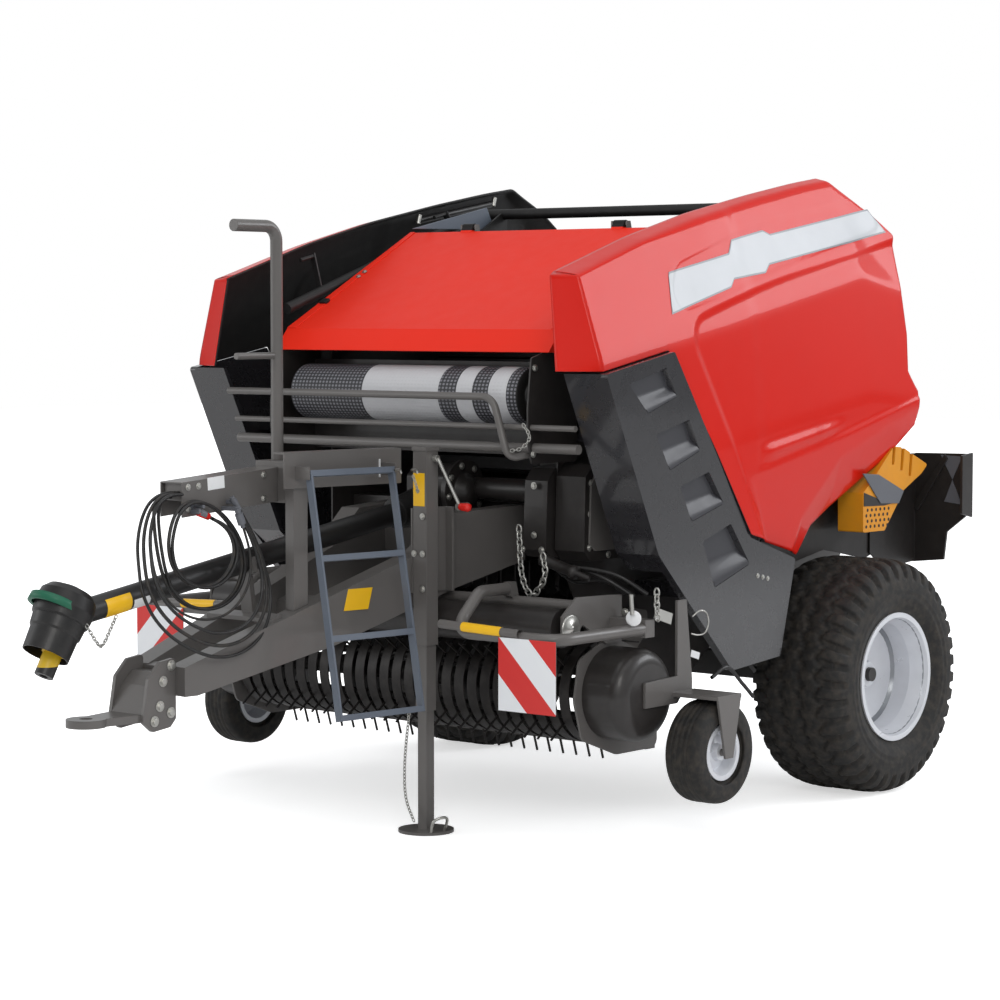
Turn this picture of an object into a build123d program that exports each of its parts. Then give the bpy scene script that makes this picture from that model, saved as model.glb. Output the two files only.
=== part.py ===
from build123d import *
import math
import os

# Round baler with a fixed roller chamber, parked on its jack.
# X is the machine's left, Y runs rearward, Z is up, and the ground is Z = 0.
# Lengths are millimetres. Places called y are measured rearward from the axle.

os.makedirs("parts", exist_ok=True)

# ---- frame and running gear -------------------------------------------------
axle_y = 1515              # the axle behind the middle of the machine
axle_z = 508
clear = 6                  # running clearance between pieces that move
seat = 0.3                 # gap where one piece is carried by another
mid = Plane.YZ             # the machine's plane of symmetry

track_half = 1076
tyre_r = 508
tyre_w = 470
rim_r = 262
rim_flange_r = 278
rim_w = 410
hub_r = 62
axle_box = 120

# ---- bale chamber -----------------------------------------------------------
chamber_y = -100
chamber_z = 1540
bale_r = 625
roller_r = 100
ring_r = bale_r + roller_r + 10
chamber_half = 618         # from the middle to the inside of a wall
wall_t = 8
wall_out = chamber_half + wall_t
gate_pivot_z = 2400
split = 5                  # half the gap between front walls and tailgate

# ---- pick-up ----------------------------------------------------------------
rotor_y = -1000
rotor_z = 780
rotor_r = 235
reel_y = -1600
reel_z = 575
reel_r = 150               # tine bars
tine_r = 300               # tine tips
band_r = 205
drum_half = 1150
pickup_half = drum_half - 202          # to the inside of the pick-up's side plates
pickup_t = 10                          # their thickness
drum_in = pickup_half + pickup_t + seat

# ---- front ------------------------------------------------------------------
hitch_y = -3515
hitch_z = 574
beam_front = (-3150, 105)  # y and x of a drawbar beam's middle at its front
beam_rear = (-1390, 312)
jack_x = 330
jack_y = -1995
net_y = -1665
net_z = 1747
net_r = 115


def side(x):
    """Plane across the machine at x, seen from its left: rearward, then up."""
    return Plane(origin=(x, axle_y, 0), x_dir=(0, 1, 0), z_dir=(1, 0, 0))


def level(z):
    """Horizontal plane at height z: left, then rearward."""
    return Plane(origin=(0, axle_y, z))


def across(y):
    """Upright plane at y, seen from the front: left, then up. It grows forward."""
    return Plane(origin=(0, axle_y + y, 0), x_dir=(1, 0, 0), z_dir=(0, -1, 0))


def at(x, y, z):
    """Point of the machine from its place behind the axle."""
    return Vector(x, axle_y + y, z)


def outline(plane, points, corner=0):
    """Closed outline of straight runs, its corners rounded where a radius is given."""
    with BuildSketch(plane) as shape:
        with BuildLine():
            if corner:
                FilletPolyline(*points, radius=corner, close=True)
            else:
                Polyline(*points, close=True)
        make_face()
    return shape.sketch


def panel(plane, u, v):
    """Rectangle on a plane, between two values along its first axis and two along its second."""
    return outline(plane, [(u[0], v[0]), (u[0], v[1]), (u[1], v[1]), (u[1], v[0])])


def disc(plane, u, v, radius, bore=0):
    """Round face on a plane, with a hole where a bore is given."""
    with BuildSketch(plane) as shape:
        with Locations((u, v)):
            Circle(radius)
            if bore:
                Circle(bore, mode=Mode.SUBTRACT)
    return shape.sketch


# ---- chassis: chamber walls and their beams ---------------------------------
wall_arc = ring_r + roller_r + 45      # outer edge of the chamber walls
ear_r = 50
pin_r = 24
wall_front = -1520
front_wall = [(chamber_y - split, chamber_z - wall_arc), (chamber_y - split, chamber_z + wall_arc),
              (-860, 2390), (wall_front, 1950), (wall_front, 1120), (rotor_y - 290, 690),
              (rotor_y - 180, 500), (-650, 500), (-420, chamber_z - wall_arc)]

with BuildPart() as chamber_walls:
    extrude(outline(side(chamber_half), front_wall), amount=wall_t)
    extrude(disc(side(chamber_half), chamber_y, gate_pivot_z, ear_r + clear), amount=wall_t,
            mode=Mode.SUBTRACT)
    mirror(about=mid)

# name: y, z, depth, height of each beam that joins the two walls
beams = [("top", -810, 2330, 120, 100), ("drawbar", -1335, 1180, 100, 220),
         ("floor", -640, 560, 100, 60), ("net", -1250, 2020, 60, 60)]
with BuildPart() as cross_beams:
    for name, y, z, deep, high in beams:
        with BuildSketch(side(-chamber_half + seat)):
            with Locations((y, z)):
                Rectangle(deep, high)
        extrude(amount=2 * (chamber_half - seat))
        with BuildSketch(side(-chamber_half + seat + wall_t)):
            with Locations((y, z)):
                Rectangle(deep - 2 * wall_t, high - 2 * wall_t)
        extrude(amount=2 * (chamber_half - seat - wall_t), mode=Mode.SUBTRACT)

# Brackets outside the walls hold the tailgate's pins.
bracket_in = wall_out + seat
bracket_t = 14
pivot_plate = [(chamber_y + 70, gate_pivot_z + 60), (chamber_y + 70, gate_pivot_z - 60),
               (-300, 2200), (-300, gate_pivot_z + 20), (-240, gate_pivot_z + 60)]
with BuildPart() as gate_brackets:
    extrude(outline(side(bracket_in + clear), pivot_plate), amount=bracket_t)
    extrude(outline(side(bracket_in), [(-300, 2200), (-300, 2390), (-200, 2390), (-200, 2270)]),
            amount=clear)
    extrude(disc(side(chamber_half - 8), chamber_y, gate_pivot_z, pin_r),
            amount=wall_t + clear + seat + 10)
    mirror(about=mid)

# ---- top frame: rails, crossbar and the hinge pins of the side covers -------
rail_x = 790
bar_y = -340
bar_z = 2530
rail_front = (-1620, 2095)
cover_hinge_x = 838
hinge_front = (-1880, 2214)            # the covers' hinge line, in side view
hinge_rear = (-50, 2640)
hinge_slope = (hinge_rear[1] - hinge_front[1]) / (hinge_rear[0] - hinge_front[0])
hinge_angle = math.degrees(math.atan(hinge_slope))
hinge_spots = [-1450, -560]
hinge_pin_r = 9
knuckle_r = 18
knuckle_w = 70


def hinge_z(y):
    """Height of the covers' hinge line at y."""
    return hinge_front[1] + hinge_slope * (y - hinge_front[0])


def hinge_plane(y, x=cover_hinge_x):
    """Plane square to the covers' hinge line at y."""
    return Plane(origin=at(x, y, hinge_z(y)), x_dir=(1, 0, 0),
                 z_dir=(0, math.cos(math.radians(hinge_angle)), math.sin(math.radians(hinge_angle))))


with BuildPart() as top_frame:
    with BuildSketch(side(-rail_x)):
        with Locations((bar_y, bar_z)):
            Circle(24)
    extrude(amount=2 * rail_x)
    for x in (-rail_x, rail_x):
        with BuildLine() as run:
            Line(at(x, *rail_front), at(x, bar_y, bar_z))
        with BuildSketch(Plane(origin=run.line @ 0, z_dir=run.line % 0)):
            Circle(25)
        sweep()
    for s in (-1, 1):
        for y in hinge_spots:
            rail_here = rail_front[1] + (bar_z - rail_front[1]) * (y - rail_front[0]) / (bar_y
                    - rail_front[0])
            with BuildSketch(across(y + knuckle_w / 2 + 16)):
                with BuildLine():
                    Polyline((s * (rail_x - 14), rail_here), (s * (rail_x + 10), rail_here - 14),
                             (s * (cover_hinge_x + 14), hinge_z(y) + 2),
                             (s * (cover_hinge_x - 8), hinge_z(y) + 26),
                             close=True)
                make_face()
            extrude(amount=8)
            with BuildSketch(hinge_plane(y + knuckle_w / 2 + 12, s * cover_hinge_x)):
                Circle(hinge_pin_r)
            extrude(amount=-knuckle_w - 14)
    for s in (-1, 1):
        extrude(outline(side(s * (wall_out + seat)), [(-700, 2290), (-700, 2340),
                (bar_y - 14, bar_z + 10),
                (bar_y + 14, bar_z + 10), (bar_y + 14, 2290)]), amount=s * 12)

# ---- drawbar, hitch and what stands on the drawbar --------------------------
beam_w = 90
beam_wall = 8
beam_turn = math.degrees(math.atan((beam_rear[1] - beam_front[1]) / (beam_rear[0] - beam_front[0])))


def beam_x(y):
    """Middle of the left drawbar beam at y."""
    return beam_front[1] + (y - beam_front[0]) * math.tan(math.radians(beam_turn))


def beam_plane(y, off=0):
    """Upright plane along the left beam, off its middle to the left, with y kept as its first axis."""
    along = Vector(math.sin(math.radians(beam_turn)), math.cos(math.radians(beam_turn)), 0)
    out = Vector(math.cos(math.radians(beam_turn)), -math.sin(math.radians(beam_turn)), 0)
    start = at(beam_x(y), y, 0)
    return Plane(origin=start + out * off, x_dir=along, z_dir=out)


beam_side = [(0, 645), (0, 755), (1180, 1119), (1370, 1268), (1770, 1285), (1770, 1055),
             (1380, 965), (740, 782), (60, 645)]


def beam_top(y):
    """Height of a drawbar beam's top edge at y, on its long front slope."""
    (low_u, low_z), (high_u, high_z) = beam_side[1:3]
    return low_z + (high_z - low_z) * ((y - beam_front[0]) / math.cos(math.radians(beam_turn))
            - low_u) / (high_u - low_u)


pto_rise = 0.157
pto_r = 46


def pto_z(y):
    """Height of the drive shaft's line at y."""
    return 1037 + pto_rise * (y + 3190)


rest_y = -2680
rest_t = 24
rest_foot = (-2715, -2665)             # front and rear edge of the plate under the shaft's rest
shaft_out = Vector(0, -1, -pto_rise).normalized()
with BuildPart() as drawbar:
    extrude(outline(beam_plane(beam_front[0], -beam_w / 2), beam_side), amount=beam_w)
    extrude(offset(outline(beam_plane(beam_front[0], beam_wall - beam_w / 2), beam_side),
            amount=-beam_wall,
                   kind=Kind.INTERSECTION, mode=Mode.PRIVATE), amount=beam_w - 2 * beam_wall,
                   mode=Mode.SUBTRACT)
    fillet(drawbar.edges().filter_by(Axis.Z, reverse=True).group_by(Axis.Z)[-1], 3)
    mirror(about=mid)
    extrude(panel(side(-330), (-1600, -1400), (1080, 1180)), amount=660)
    extrude(outline(side(-140), [(-3150, 650), (-3150, 750), (-3110, 760), (-3110, 650)]), amount=280)
    extrude(outline(side(-190), [(-2350, 850), (-2350, 930), (-2270, 950), (-2270, 870)]), amount=380)
    foot_half = beam_x(rest_y) + 20
    extrude(outline(side(-foot_half), [(y, beam_top(y) + up) for y,
            up in ((rest_foot[0], -2), (rest_foot[0], 14),
            (rest_foot[1], 14), (rest_foot[1], -2))]), amount=2 * foot_half)
    with BuildSketch(Plane(origin=at(0, rest_y, pto_z(rest_y)), x_dir=(1, 0, 0), z_dir=shaft_out)):
        with BuildLine():
            Polyline((-60, 20), (-60, -40), (-30, -58), (-30, -205), (30, -205), (30, -58), (60, -40),
                    (60, 20),
                     close=True)
        make_face()
        Circle(pto_r + seat, mode=Mode.SUBTRACT)
        with Locations((0, 30)):
            Rectangle(2 * (pto_r + seat), 60, mode=Mode.SUBTRACT)
    extrude(amount=rest_t)

hitch_back = beam_front[0] - seat
head_plate = [(hitch_back, 560), (hitch_back, 790), (-3230, 780), (-3290, 720), (-3320, 560),
        (-3270, 520),
              (-3180, 530)]
with BuildPart() as hitch:
    with BuildSketch(level(hitch_z - 15)):
        with Locations((0, hitch_y)):
            Circle(75)
        with BuildLine():
            Polyline((-52, hitch_y + 30), (52, hitch_y + 30), (80, -3330), (80, -3215), (-80, -3215),
                    (-80, -3330),
                     close=True)
        make_face()
        with Locations((0, hitch_y)):
            Circle(25, mode=Mode.SUBTRACT)
    extrude(amount=30)
    extrude(outline(side(-80), [(-3330, 560), (-3260, 690), (-3210, 735), (hitch_back, 735),
            (hitch_back, 559)]),
            amount=160)
    for s in (-1, 1):
        extrude(outline(side(s * 88 - 8), head_plate, 15), amount=16)

gearbox_y = -1500
drive_x = 500
gearbox_z = 1330
with BuildPart() as gearbox:
    extrude(outline(side(-110), [(gearbox_y - 110, 1180 + seat), (gearbox_y - 110, gearbox_z + 70),
            (gearbox_y - 60, gearbox_z + 120), (gearbox_y + 90, gearbox_z + 120),
            (gearbox_y + 90, 1180 + seat)], 20),
            amount=220)
    extrude(disc(side(110), gearbox_y - 20, gearbox_z + 10, 128), amount=24)
    extrude(disc(side(130), gearbox_y + 40, gearbox_z + 20, 46), amount=drive_x - 130 - seat)
    extrude(disc(across(gearbox_y - 105), 0, gearbox_z - 32, 75), amount=40)

with BuildPart() as drive_case:
    extrude(outline(side(drive_x), [(-1590, 1120), (-1575, 1400), (-1530, 1450), (-1420, 1460),
            (-1395, 1400),
            (-1395, 1140), (-1430, 1090), (-1560, 1090)]), amount=chamber_half - seat - drive_x)
    extrude(outline(side(bracket_in), [(-1540, 1120), (-1530, 1420), (-1480, 1470), (-1260, 1500),
            (-1200, 1430),
            (-1200, 1120), (-1260, 1080), (-1500, 1080)]), amount=150)

droop = 1.75                            # fall of the yoke for each length forward
droop_out = Vector(0, -1, -droop).normalized()
droop_up = Vector(0, -droop, 1).normalized()
joint_y = -3600
joint = at(0, joint_y, pto_z(joint_y))
joint_r = 48
yoke_r = 42
yoke_len = 238
yoke_tip = 88                           # bare end of the yoke, which has the bore
yoke_bore_r = 17.5
with BuildPart() as pto_shaft:
    with BuildLine() as run:
        Line(joint, at(0, gearbox_y - 162, pto_z(gearbox_y - 162)))
    with BuildSketch(Plane(origin=run.line @ 0, z_dir=run.line % 0)):
        Circle(pto_r)
    sweep()
    with BuildSketch(Plane(origin=run.line @ 1, z_dir=run.line % 1)):
        Circle(80)
    extrude(amount=-150, taper=6)
    with Locations(joint):
        Sphere(joint_r)
    with BuildSketch(Plane(origin=joint, z_dir=droop_out)):
        Circle(yoke_r)
    extrude(amount=yoke_len - yoke_tip)
    with BuildSketch(Plane(origin=joint + droop_out * (yoke_len - yoke_tip), z_dir=droop_out)):
        Circle(yoke_r - 6)
        Circle(yoke_bore_r, mode=Mode.SUBTRACT)
    extrude(amount=yoke_tip)

# The guard over the joint is a stepped bell: places along its axis and their radii.
bell_steps = [(-85, 40), (-72, 84), (-48, 106), (0, 113), (42, 108), (50, 101), (92, 97), (100, 91),
        (185, 88)]
bell_t = 4
bell_start = joint + droop_up * 30 - droop_out * 17
with BuildPart() as pto_guard:
    bell_in = [(along + bell_t, radius - bell_t) for along, radius in bell_steps[:-1]]
    bell_in.append((bell_steps[-1][0], bell_steps[-1][1] - bell_t))
    bell_plane = Plane(origin=bell_start, x_dir=droop_out, z_dir=(1, 0, 0))
    top = bell_steps[0][0]
    revolve(outline(bell_plane, [(top, 0), *bell_steps, *bell_in[::-1], (top + bell_t, 0)]),
            axis=Axis(bell_start, droop_out))
    with BuildSketch(Plane(origin=joint, z_dir=-shaft_out)):
        Circle(pto_r + seat)
    extrude(amount=250, mode=Mode.SUBTRACT)

# ---- platform, hose arm, handrail, ladder, jack -----------------------------
plat_z = 1402
plat_h = 140
plat_off = 25                           # from a beam's middle to the platform's
ladder_y = -2598
ladder_w = 430
ladder_top = 1470
ladder_off = plat_off + 56              # from a beam's middle to the ladder's inner face
ladder_lean = 10.6                      # the foot stands outward
stile = (34, 10)                        # depth and thickness of the ladder's sides
ladder_pin_r = 6
ladder_start = beam_plane(ladder_y, ladder_off)
ladder_plane = Plane(origin=ladder_start.origin + Vector(0, 0, ladder_top), x_dir=ladder_start.x_dir,
                     z_dir=ladder_start.z_dir * math.cos(math.radians(ladder_lean))
                     + Vector(0, 0, 1) * math.sin(math.radians(ladder_lean)))
ladder_hinge = ladder_plane.origin - ladder_plane.y_dir * 12 + ladder_plane.z_dir * (stile[0] / 2)


def ladder_pin(along, radius):
    """Round face square to the ladder's hinge, a distance along it."""
    with BuildSketch(Plane(origin=ladder_hinge + ladder_plane.x_dir * along, x_dir=ladder_start.z_dir,
                           z_dir=ladder_plane.x_dir)) as shape:
        Circle(radius)
    return shape.sketch


lug_t = 8
with BuildPart() as platform:
    extrude(panel(beam_plane(-2660, plat_off), (0, 600), (plat_z, plat_z + plat_h)), amount=8)
    extrude(panel(beam_plane(-2660, plat_off - 60), (0, 600), (plat_z + plat_h - 8, plat_z + plat_h)),
            amount=60)
    extrude(outline(beam_plane(-2660, plat_off - 60), [(60, beam_top(-2600) + seat),
            (60, plat_z + plat_h - 8),
            (130, plat_z + plat_h - 8), (130, beam_top(-2530) + seat)]), amount=50)
    extrude(panel(side(-60), (-2560, -2440), (1340, plat_z + 100)),
            amount=200)
    for u in (-lug_t - 2, ladder_w + 2):
        extrude(panel(beam_plane(ladder_y, plat_off), (u, u + lug_t), (1438, 1488)),
                amount=90)
    extrude(ladder_pin(-lug_t - 2, ladder_pin_r), amount=ladder_w + 2 * lug_t + 4)

arm_x = 60
hose_y = -3062                          # where the hoses leave their clamp in the arm
with BuildPart() as hose_arm:
    with BuildSketch(side(-arm_x)):
        with BuildLine():
            Polyline((-3075, 1308), (-3075, 1441), (-2560 - seat, 1478), (-2560 - seat, 1345), close=True)
        make_face()
    extrude(amount=2 * arm_x)
    with BuildSketch(side(-arm_x + 6)):
        with BuildLine():
            Polyline((-3085, 1290), (-3085, 1435), (-2570, 1472), (-2570, 1327), close=True)
        make_face()
    extrude(amount=2 * arm_x - 12, mode=Mode.SUBTRACT)
    extrude(outline(side(-48), [(hose_y, 1370), (hose_y, 1440), (hose_y + 30, 1442),
            (hose_y + 30, 1370)]), amount=96)

# Hoses hang in loops beside the arm. Each is a radius and the points of its route: x, y, z.
hose_routes = {
    "hose_thick": (7, [(30, hose_y, 1400), (30, -3110, 1400), (34, -3162, 1390), (40, -3210, 1362),
                       (46, -3248, 1308), (60, -3278, 1235), (88, -3300, 1155), (118, -3312, 1072),
                       (148, -3292, 990), (178, -3238, 918), (200, -3150, 862), (206, -3040, 828),
                       (206, -2925, 832), (201, -2828, 874), (190, -2764, 948), (172, -2738, 1040),
                       (152, -2748, 1132), (132, -2768, 1215), (116, -2796, 1280), (105, -2820, 1326)]),
    "hose_cable": (5, [(0, hose_y, 1392), (0, -3095, 1392), (4, -3130, 1385), (14, -3164, 1362),
                       (30, -3196, 1320), (52, -3232, 1262), (78, -3256, 1190), (104, -3264, 1115),
                       (120, -3242, 1042), (130, -3190, 980), (141, -3115, 938), (150, -3022, 922),
                       (156, -2930, 940), (160, -2862, 990), (160, -2818, 1058), (155, -2806, 1135),
                       (150, -2818, 1205), (145, -2838, 1262)]),
    "hose_twin": (7, [(-30, hose_y, 1392), (-30, -3098, 1392), (-24, -3132, 1372), (-8, -3160, 1328),
                      (20, -3182, 1262), (48, -3196, 1188), (72, -3196, 1108), (86, -3164, 1032),
                      (93, -3090, 976), (98, -2990, 956), (100, -2900, 972), (100, -2830, 1022),
                      (100, -2796, 1098), (99, -2806, 1180), (95, -2846, 1256), (90, -2910, 1322),
                      (86, -2985, 1364), (90, -3070, 1374), (100, -3144, 1342), (110, -3188, 1278),
                      (116, -3206, 1200), (121, -3184, 1122), (125, -3120, 1068), (126, -3032, 1044),
                      (125, -2944, 1060), (122, -2880, 1112), (118, -2856, 1180), (114, -2876, 1242),
                      (110, -2924, 1284), (105, -2978, 1308)])}


def hose_radii(points):
    """Arc at each inner point of a route: 0.45 of its shorter run over the tangent of half the turn."""
    radii = []
    for before, here, after in zip(points, points[1:], points[2:]):
        one, two = Vector(*here) - Vector(*before), Vector(*after) - Vector(*here)
        radii.append(0.45 * min(one.length, two.length) / math.tan(math.radians(one.get_angle(two)) / 2))
    return radii


hoses = {}
for name, (radius, route) in hose_routes.items():
    radii = hose_radii(route)
    print(name, "radii", [round(r) for r in radii])
    with BuildPart() as hose:
        with BuildLine() as run:
            FilletPolyline(*[at(*point) for point in route], radius=radii)
        with BuildSketch(Plane(origin=run.line @ 0, z_dir=run.line % 0)):
            Circle(radius)
        sweep()
    hoses[name] = hose.part
    length = sum(edge.length for edge in run.edges())
    print(name, "length", round(length), "volume ratio",
            round(hose.part.volume / (math.pi * radius**2 * length), 3))

# Each end: its hose, then the steps of its coupling as a place along it and a radius, and its strap's y, z.
hose_ends = [("hose_thick", [(0, 13), (48, 13), (48, 10), (60, 10)], (-2838, 1358)),
             ("hose_cable", [(0, 9), (14, 9), (14, 16), (58, 16), (58, 12), (76, 12)], (-2862, 1334)),
             ("hose_twin", [(0, 8), (22, 8), (22, 14), (52, 14), (52, 11), (64, 11)], (-3028, 1330))]
peg_r = 7
with BuildPart() as couplings:
    for name, steps, (strap_y, strap_z) in hose_ends:
        before, last = [at(*point) for point in hose_routes[name][1][-2:]]
        way = (last - before).normalized()
        end_plane = Plane(origin=last, x_dir=way, z_dir=way.cross(Vector(0, 0, 1)).normalized())
        revolve(outline(end_plane, [(0, 0), *steps, (steps[-1][0], 0)]), axis=Axis(last, way))
        reach = (last + way * steps[-1][0] * 0.8).X
        extrude(panel(side(arm_x + seat), (strap_y - 8, strap_y + 8), (strap_z - 8, strap_z + 8)),
                amount=reach - arm_x - seat)
    extrude(outline(side(arm_x + seat), [(-3036, 1322), (-3036, 1354), (-3000, 1356), (-3000, 1322)]),
            amount=4)
    extrude(disc(side(arm_x + seat), -3010, 1349, peg_r), amount=48)

rail_r = 24
with BuildPart() as handrail:
    with BuildLine():
        FilletPolyline(at(0, -2500, plat_z + 100 + seat), at(0, -2500, 2415), at(0, -2735, 2415),
                radius=60)
    with BuildSketch(level(plat_z + 100 + seat)):
        with Locations((0, -2500)):
            Circle(rail_r)
    sweep()
    with BuildSketch(across(-2510)):
        with Locations((0, 1911)):
            Circle(13)
    extrude(amount=215)

ladder_len = 965
rungs = [0, 330, 640, 945]              # each rung's top below the ladder's top
rung_h = 24
with BuildPart() as ladder:
    with BuildSketch(ladder_plane):
        for u in (stile[1] / 2, ladder_w - stile[1] / 2):
            with Locations((u, -ladder_len / 2)):
                Rectangle(stile[1], ladder_len)
        for down in rungs:
            with Locations((ladder_w / 2, -down - rung_h / 2)):
                Rectangle(ladder_w, rung_h)
    extrude(amount=stile[0])
    extrude(ladder_pin(-1, ladder_pin_r + 0.05), amount=ladder_w + 2, mode=Mode.SUBTRACT)

jack_w = 70
with BuildPart() as jack_housing:
    with BuildSketch(level(753)):
        with Locations((jack_x, jack_y)):
            Rectangle(jack_w, jack_w)
            Rectangle(jack_w - 12, jack_w - 12, mode=Mode.SUBTRACT)
    extrude(amount=1530 - 753)
    with BuildSketch(level(1530)):
        with Locations((jack_x, jack_y)):
            Rectangle(jack_w + 8, jack_w + 8)
    extrude(amount=16)
    extrude(panel(beam_plane(jack_y - 30, beam_w / 2 + seat), (0, 190), (960, 1300)), amount=9)
    extrude(panel(beam_plane(jack_y - 30, beam_w / 2 + seat), (180, 190), (960, 1300)),
            amount=50)

with BuildPart() as jack_leg:
    with BuildSketch(level(489)):
        with Locations((jack_x, jack_y)):
            Rectangle(jack_w - 12 - 2 * seat, jack_w - 12 - 2 * seat)
    extrude(amount=640)
    with BuildSketch(level(12)):
        with Locations((jack_x, jack_y)):
            Rectangle(jack_w - 24, jack_w - 24)
    extrude(amount=480)
    with BuildSketch(level(0)):
        with Locations((jack_x, jack_y)):
            Circle(112)
    extrude(amount=12)

crank_x = jack_x + jack_w / 2
with BuildPart() as jack_crank:
    extrude(disc(side(crank_x + seat), jack_y + 10, 1500, 14), amount=22)
    with BuildLine() as run:
        Line(at(crank_x + 22, jack_y + 10, 1500), at(crank_x + 62, jack_y + 95, 1310))
    with BuildSketch(Plane(origin=run.line @ 0, z_dir=run.line % 0)):
        Circle(8)
    sweep()
    with BuildSketch(across(jack_y + 85)):
        with Locations((crank_x + 62, 1305)):
            Circle(16)
    extrude(amount=-60)

# ---- net wrap and the bars in front of it -----------------------------------
net_half = 615
# y, z, radius of each tube across the front
front_tubes = [(-1790, 1625, 12), (-1770, 1543, 20)]
net_plate = 700
with BuildPart() as net_box:
    extrude(outline(side(net_plate), [(-1812, 1700), (-1790, 1900), (-1600, 1950), (-1500, 1950),
            (-1500, 1480),
            (-1790, 1480), (-1812, 1600)], 15), amount=8)
    extrude(disc(side(net_half + 8), net_y, net_z, 20), amount=net_plate - net_half - 8)
    mirror(about=mid)
    extrude(panel(side(-net_plate), (-1540, -1530), (1500, 1880)), amount=2 * net_plate)
    for y, z, r in front_tubes:
        extrude(disc(side(-net_plate - 10), y, z, r + seat), amount=2 * net_plate + 20,
                mode=Mode.SUBTRACT)

with BuildPart() as net_roll:
    extrude(disc(side(-net_half), net_y, net_z, net_r), amount=2 * net_half)
    extrude(disc(side(-net_half - 8 + seat), net_y, net_z, 45), amount=2 * (net_half + 8 - seat))

with BuildPart() as front_bars:
    for y, z, r in front_tubes:
        extrude(disc(side(-930), y, z, r), amount=1860)
    with BuildLine():
        FilletPolyline(at(-930, -1835, 1745), at(545, -1835, 1745), at(620, -1830, 1500),
                at(675, -1740, 1520),
                       at(675, -1700, 1590), radius=[70, 40, 30])
    with BuildSketch(side(-930)):
        with Locations((-1835, 1745)):
            Circle(15)
    sweep()

# ---- hood over the net ------------------------------------------------------
hood_half = 750
hood_top = (-858, 2437)
hood_lip = (-1660, 2012)
hood_low = (-1735, 1922)
hood_t = 12
hood_hinge = (-836, 2456)
hood_spots = [-420, 420]
with BuildPart() as hood:
    extrude(outline(side(-hood_half), [hood_top, hood_lip, hood_low, (hood_low[0] + 12, hood_low[1] - 2),
            (hood_lip[0] + 14, hood_lip[1] - 8), (hood_top[0] + 4, hood_top[1] - 14)]),
            amount=2 * hood_half)
    for x in (-hood_half, hood_half - hood_t):
        extrude(outline(side(x), [hood_top, hood_lip, hood_low, (hood_low[0] + 40, hood_low[1] - 2),
                (hood_lip[0] + 50, hood_lip[1] - 30), (hood_top[0], hood_top[1] - 60)]), amount=hood_t)
    for x in hood_spots:
        with BuildSketch(side(x - 30)):
            with Locations(hood_hinge):
                Circle(16)
            with BuildLine():
                Polyline((hood_hinge[0] - 6, hood_hinge[1] + 14), (hood_top[0] - 10, hood_top[1] - 5),
                         (hood_top[0] + 4, hood_top[1] - 14), (hood_hinge[0] + 4, hood_hinge[1] - 15),
                         close=True)
            make_face()
            with Locations(hood_hinge):
                Circle(8.05, mode=Mode.SUBTRACT)
        extrude(amount=60)

with BuildPart() as hood_hinges:
    for x in hood_spots:
        for near in (-44, 36):
            extrude(outline(side(x + near), [(hood_hinge[0] - 10, hood_hinge[1] + 12),
                    (hood_hinge[0] + 12,
                    hood_hinge[1] + 12), (-800, 2380 + seat), (-846, 2380 + seat)]), amount=8)
        with BuildSketch(side(x - 44)):
            with Locations(hood_hinge):
                Circle(8)
        extrude(amount=88)

# ---- side covers and columns ------------------------------------------------
skin_t = 18
cover_side = [(-1890, 1848), (-1895, 2250), (-50, 2690), (60, 2640), (337, 2413), (310, 2140),
        (298, 1850),
              (362, 1733), (362, 1583), (190, 1451), (-436, 1195), (-533, 1068), (-901, 1177),
              (-1434, 1949)]
# y, then x and z of: inner top, shoulder, widest, waist, bottom
cover_sections = [(-1890, (870, 2229), (995, 2213), (1102, 1866), (1120, 1500), (1128, 1020)),
                  (-1000, (866, 2433), (980, 2415), (1108, 2030), (1146, 1560), (1148, 1020)),
                  (-50, (862, 2655), (945, 2640), (1110, 2250), (1176, 1720), (1160, 1020)),
                  (400, (862, 2440), (1065, 2385), (1125, 2150), (1186, 1680), (1165, 1020))]


def cover_section(y, points):
    """Closed section of the cover's skin: its outer points, then the same points moved in by the skin."""
    outer = list(points)
    inner = [(outer[0][0], outer[0][1] - skin_t), (outer[1][0] - skin_t * 0.7, outer[1][1] - skin_t)]
    inner += [(x - skin_t, z) for x, z in outer[2:]]
    return outline(across(y), outer + inner[::-1])


def cover_relief(y, points):
    """Closed section of what is pressed in on a cover's side, from its depth to well outside."""
    shoulder, *flank = points[1:]
    outer = [(shoulder[0] + 150, shoulder[1])] + [(x + 150, z) for x, z in flank]
    return outline(across(y), [(shoulder[0] - field_deep, shoulder[1] - field_deep)]
                   + [(x - field_deep, z) for x, z in flank] + outer[::-1])


# The pressed-in field of a cover's side: its outline in side view.
field_deep = 9
cover_field_side = [(-1265, 2015), (-997, 2118), (-578, 2222), (150, 2366), (235, 2120), (268, 1790),
                    (-192, 1576), (-800, 1448), (-930, 1448)]
with BuildPart() as cover_field:
    loft([cover_relief(y, points) for y, *points in cover_sections], ruled=True)
    extrude(outline(side(800), cover_field_side, 16), amount=500, mode=Mode.INTERSECT)

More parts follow.
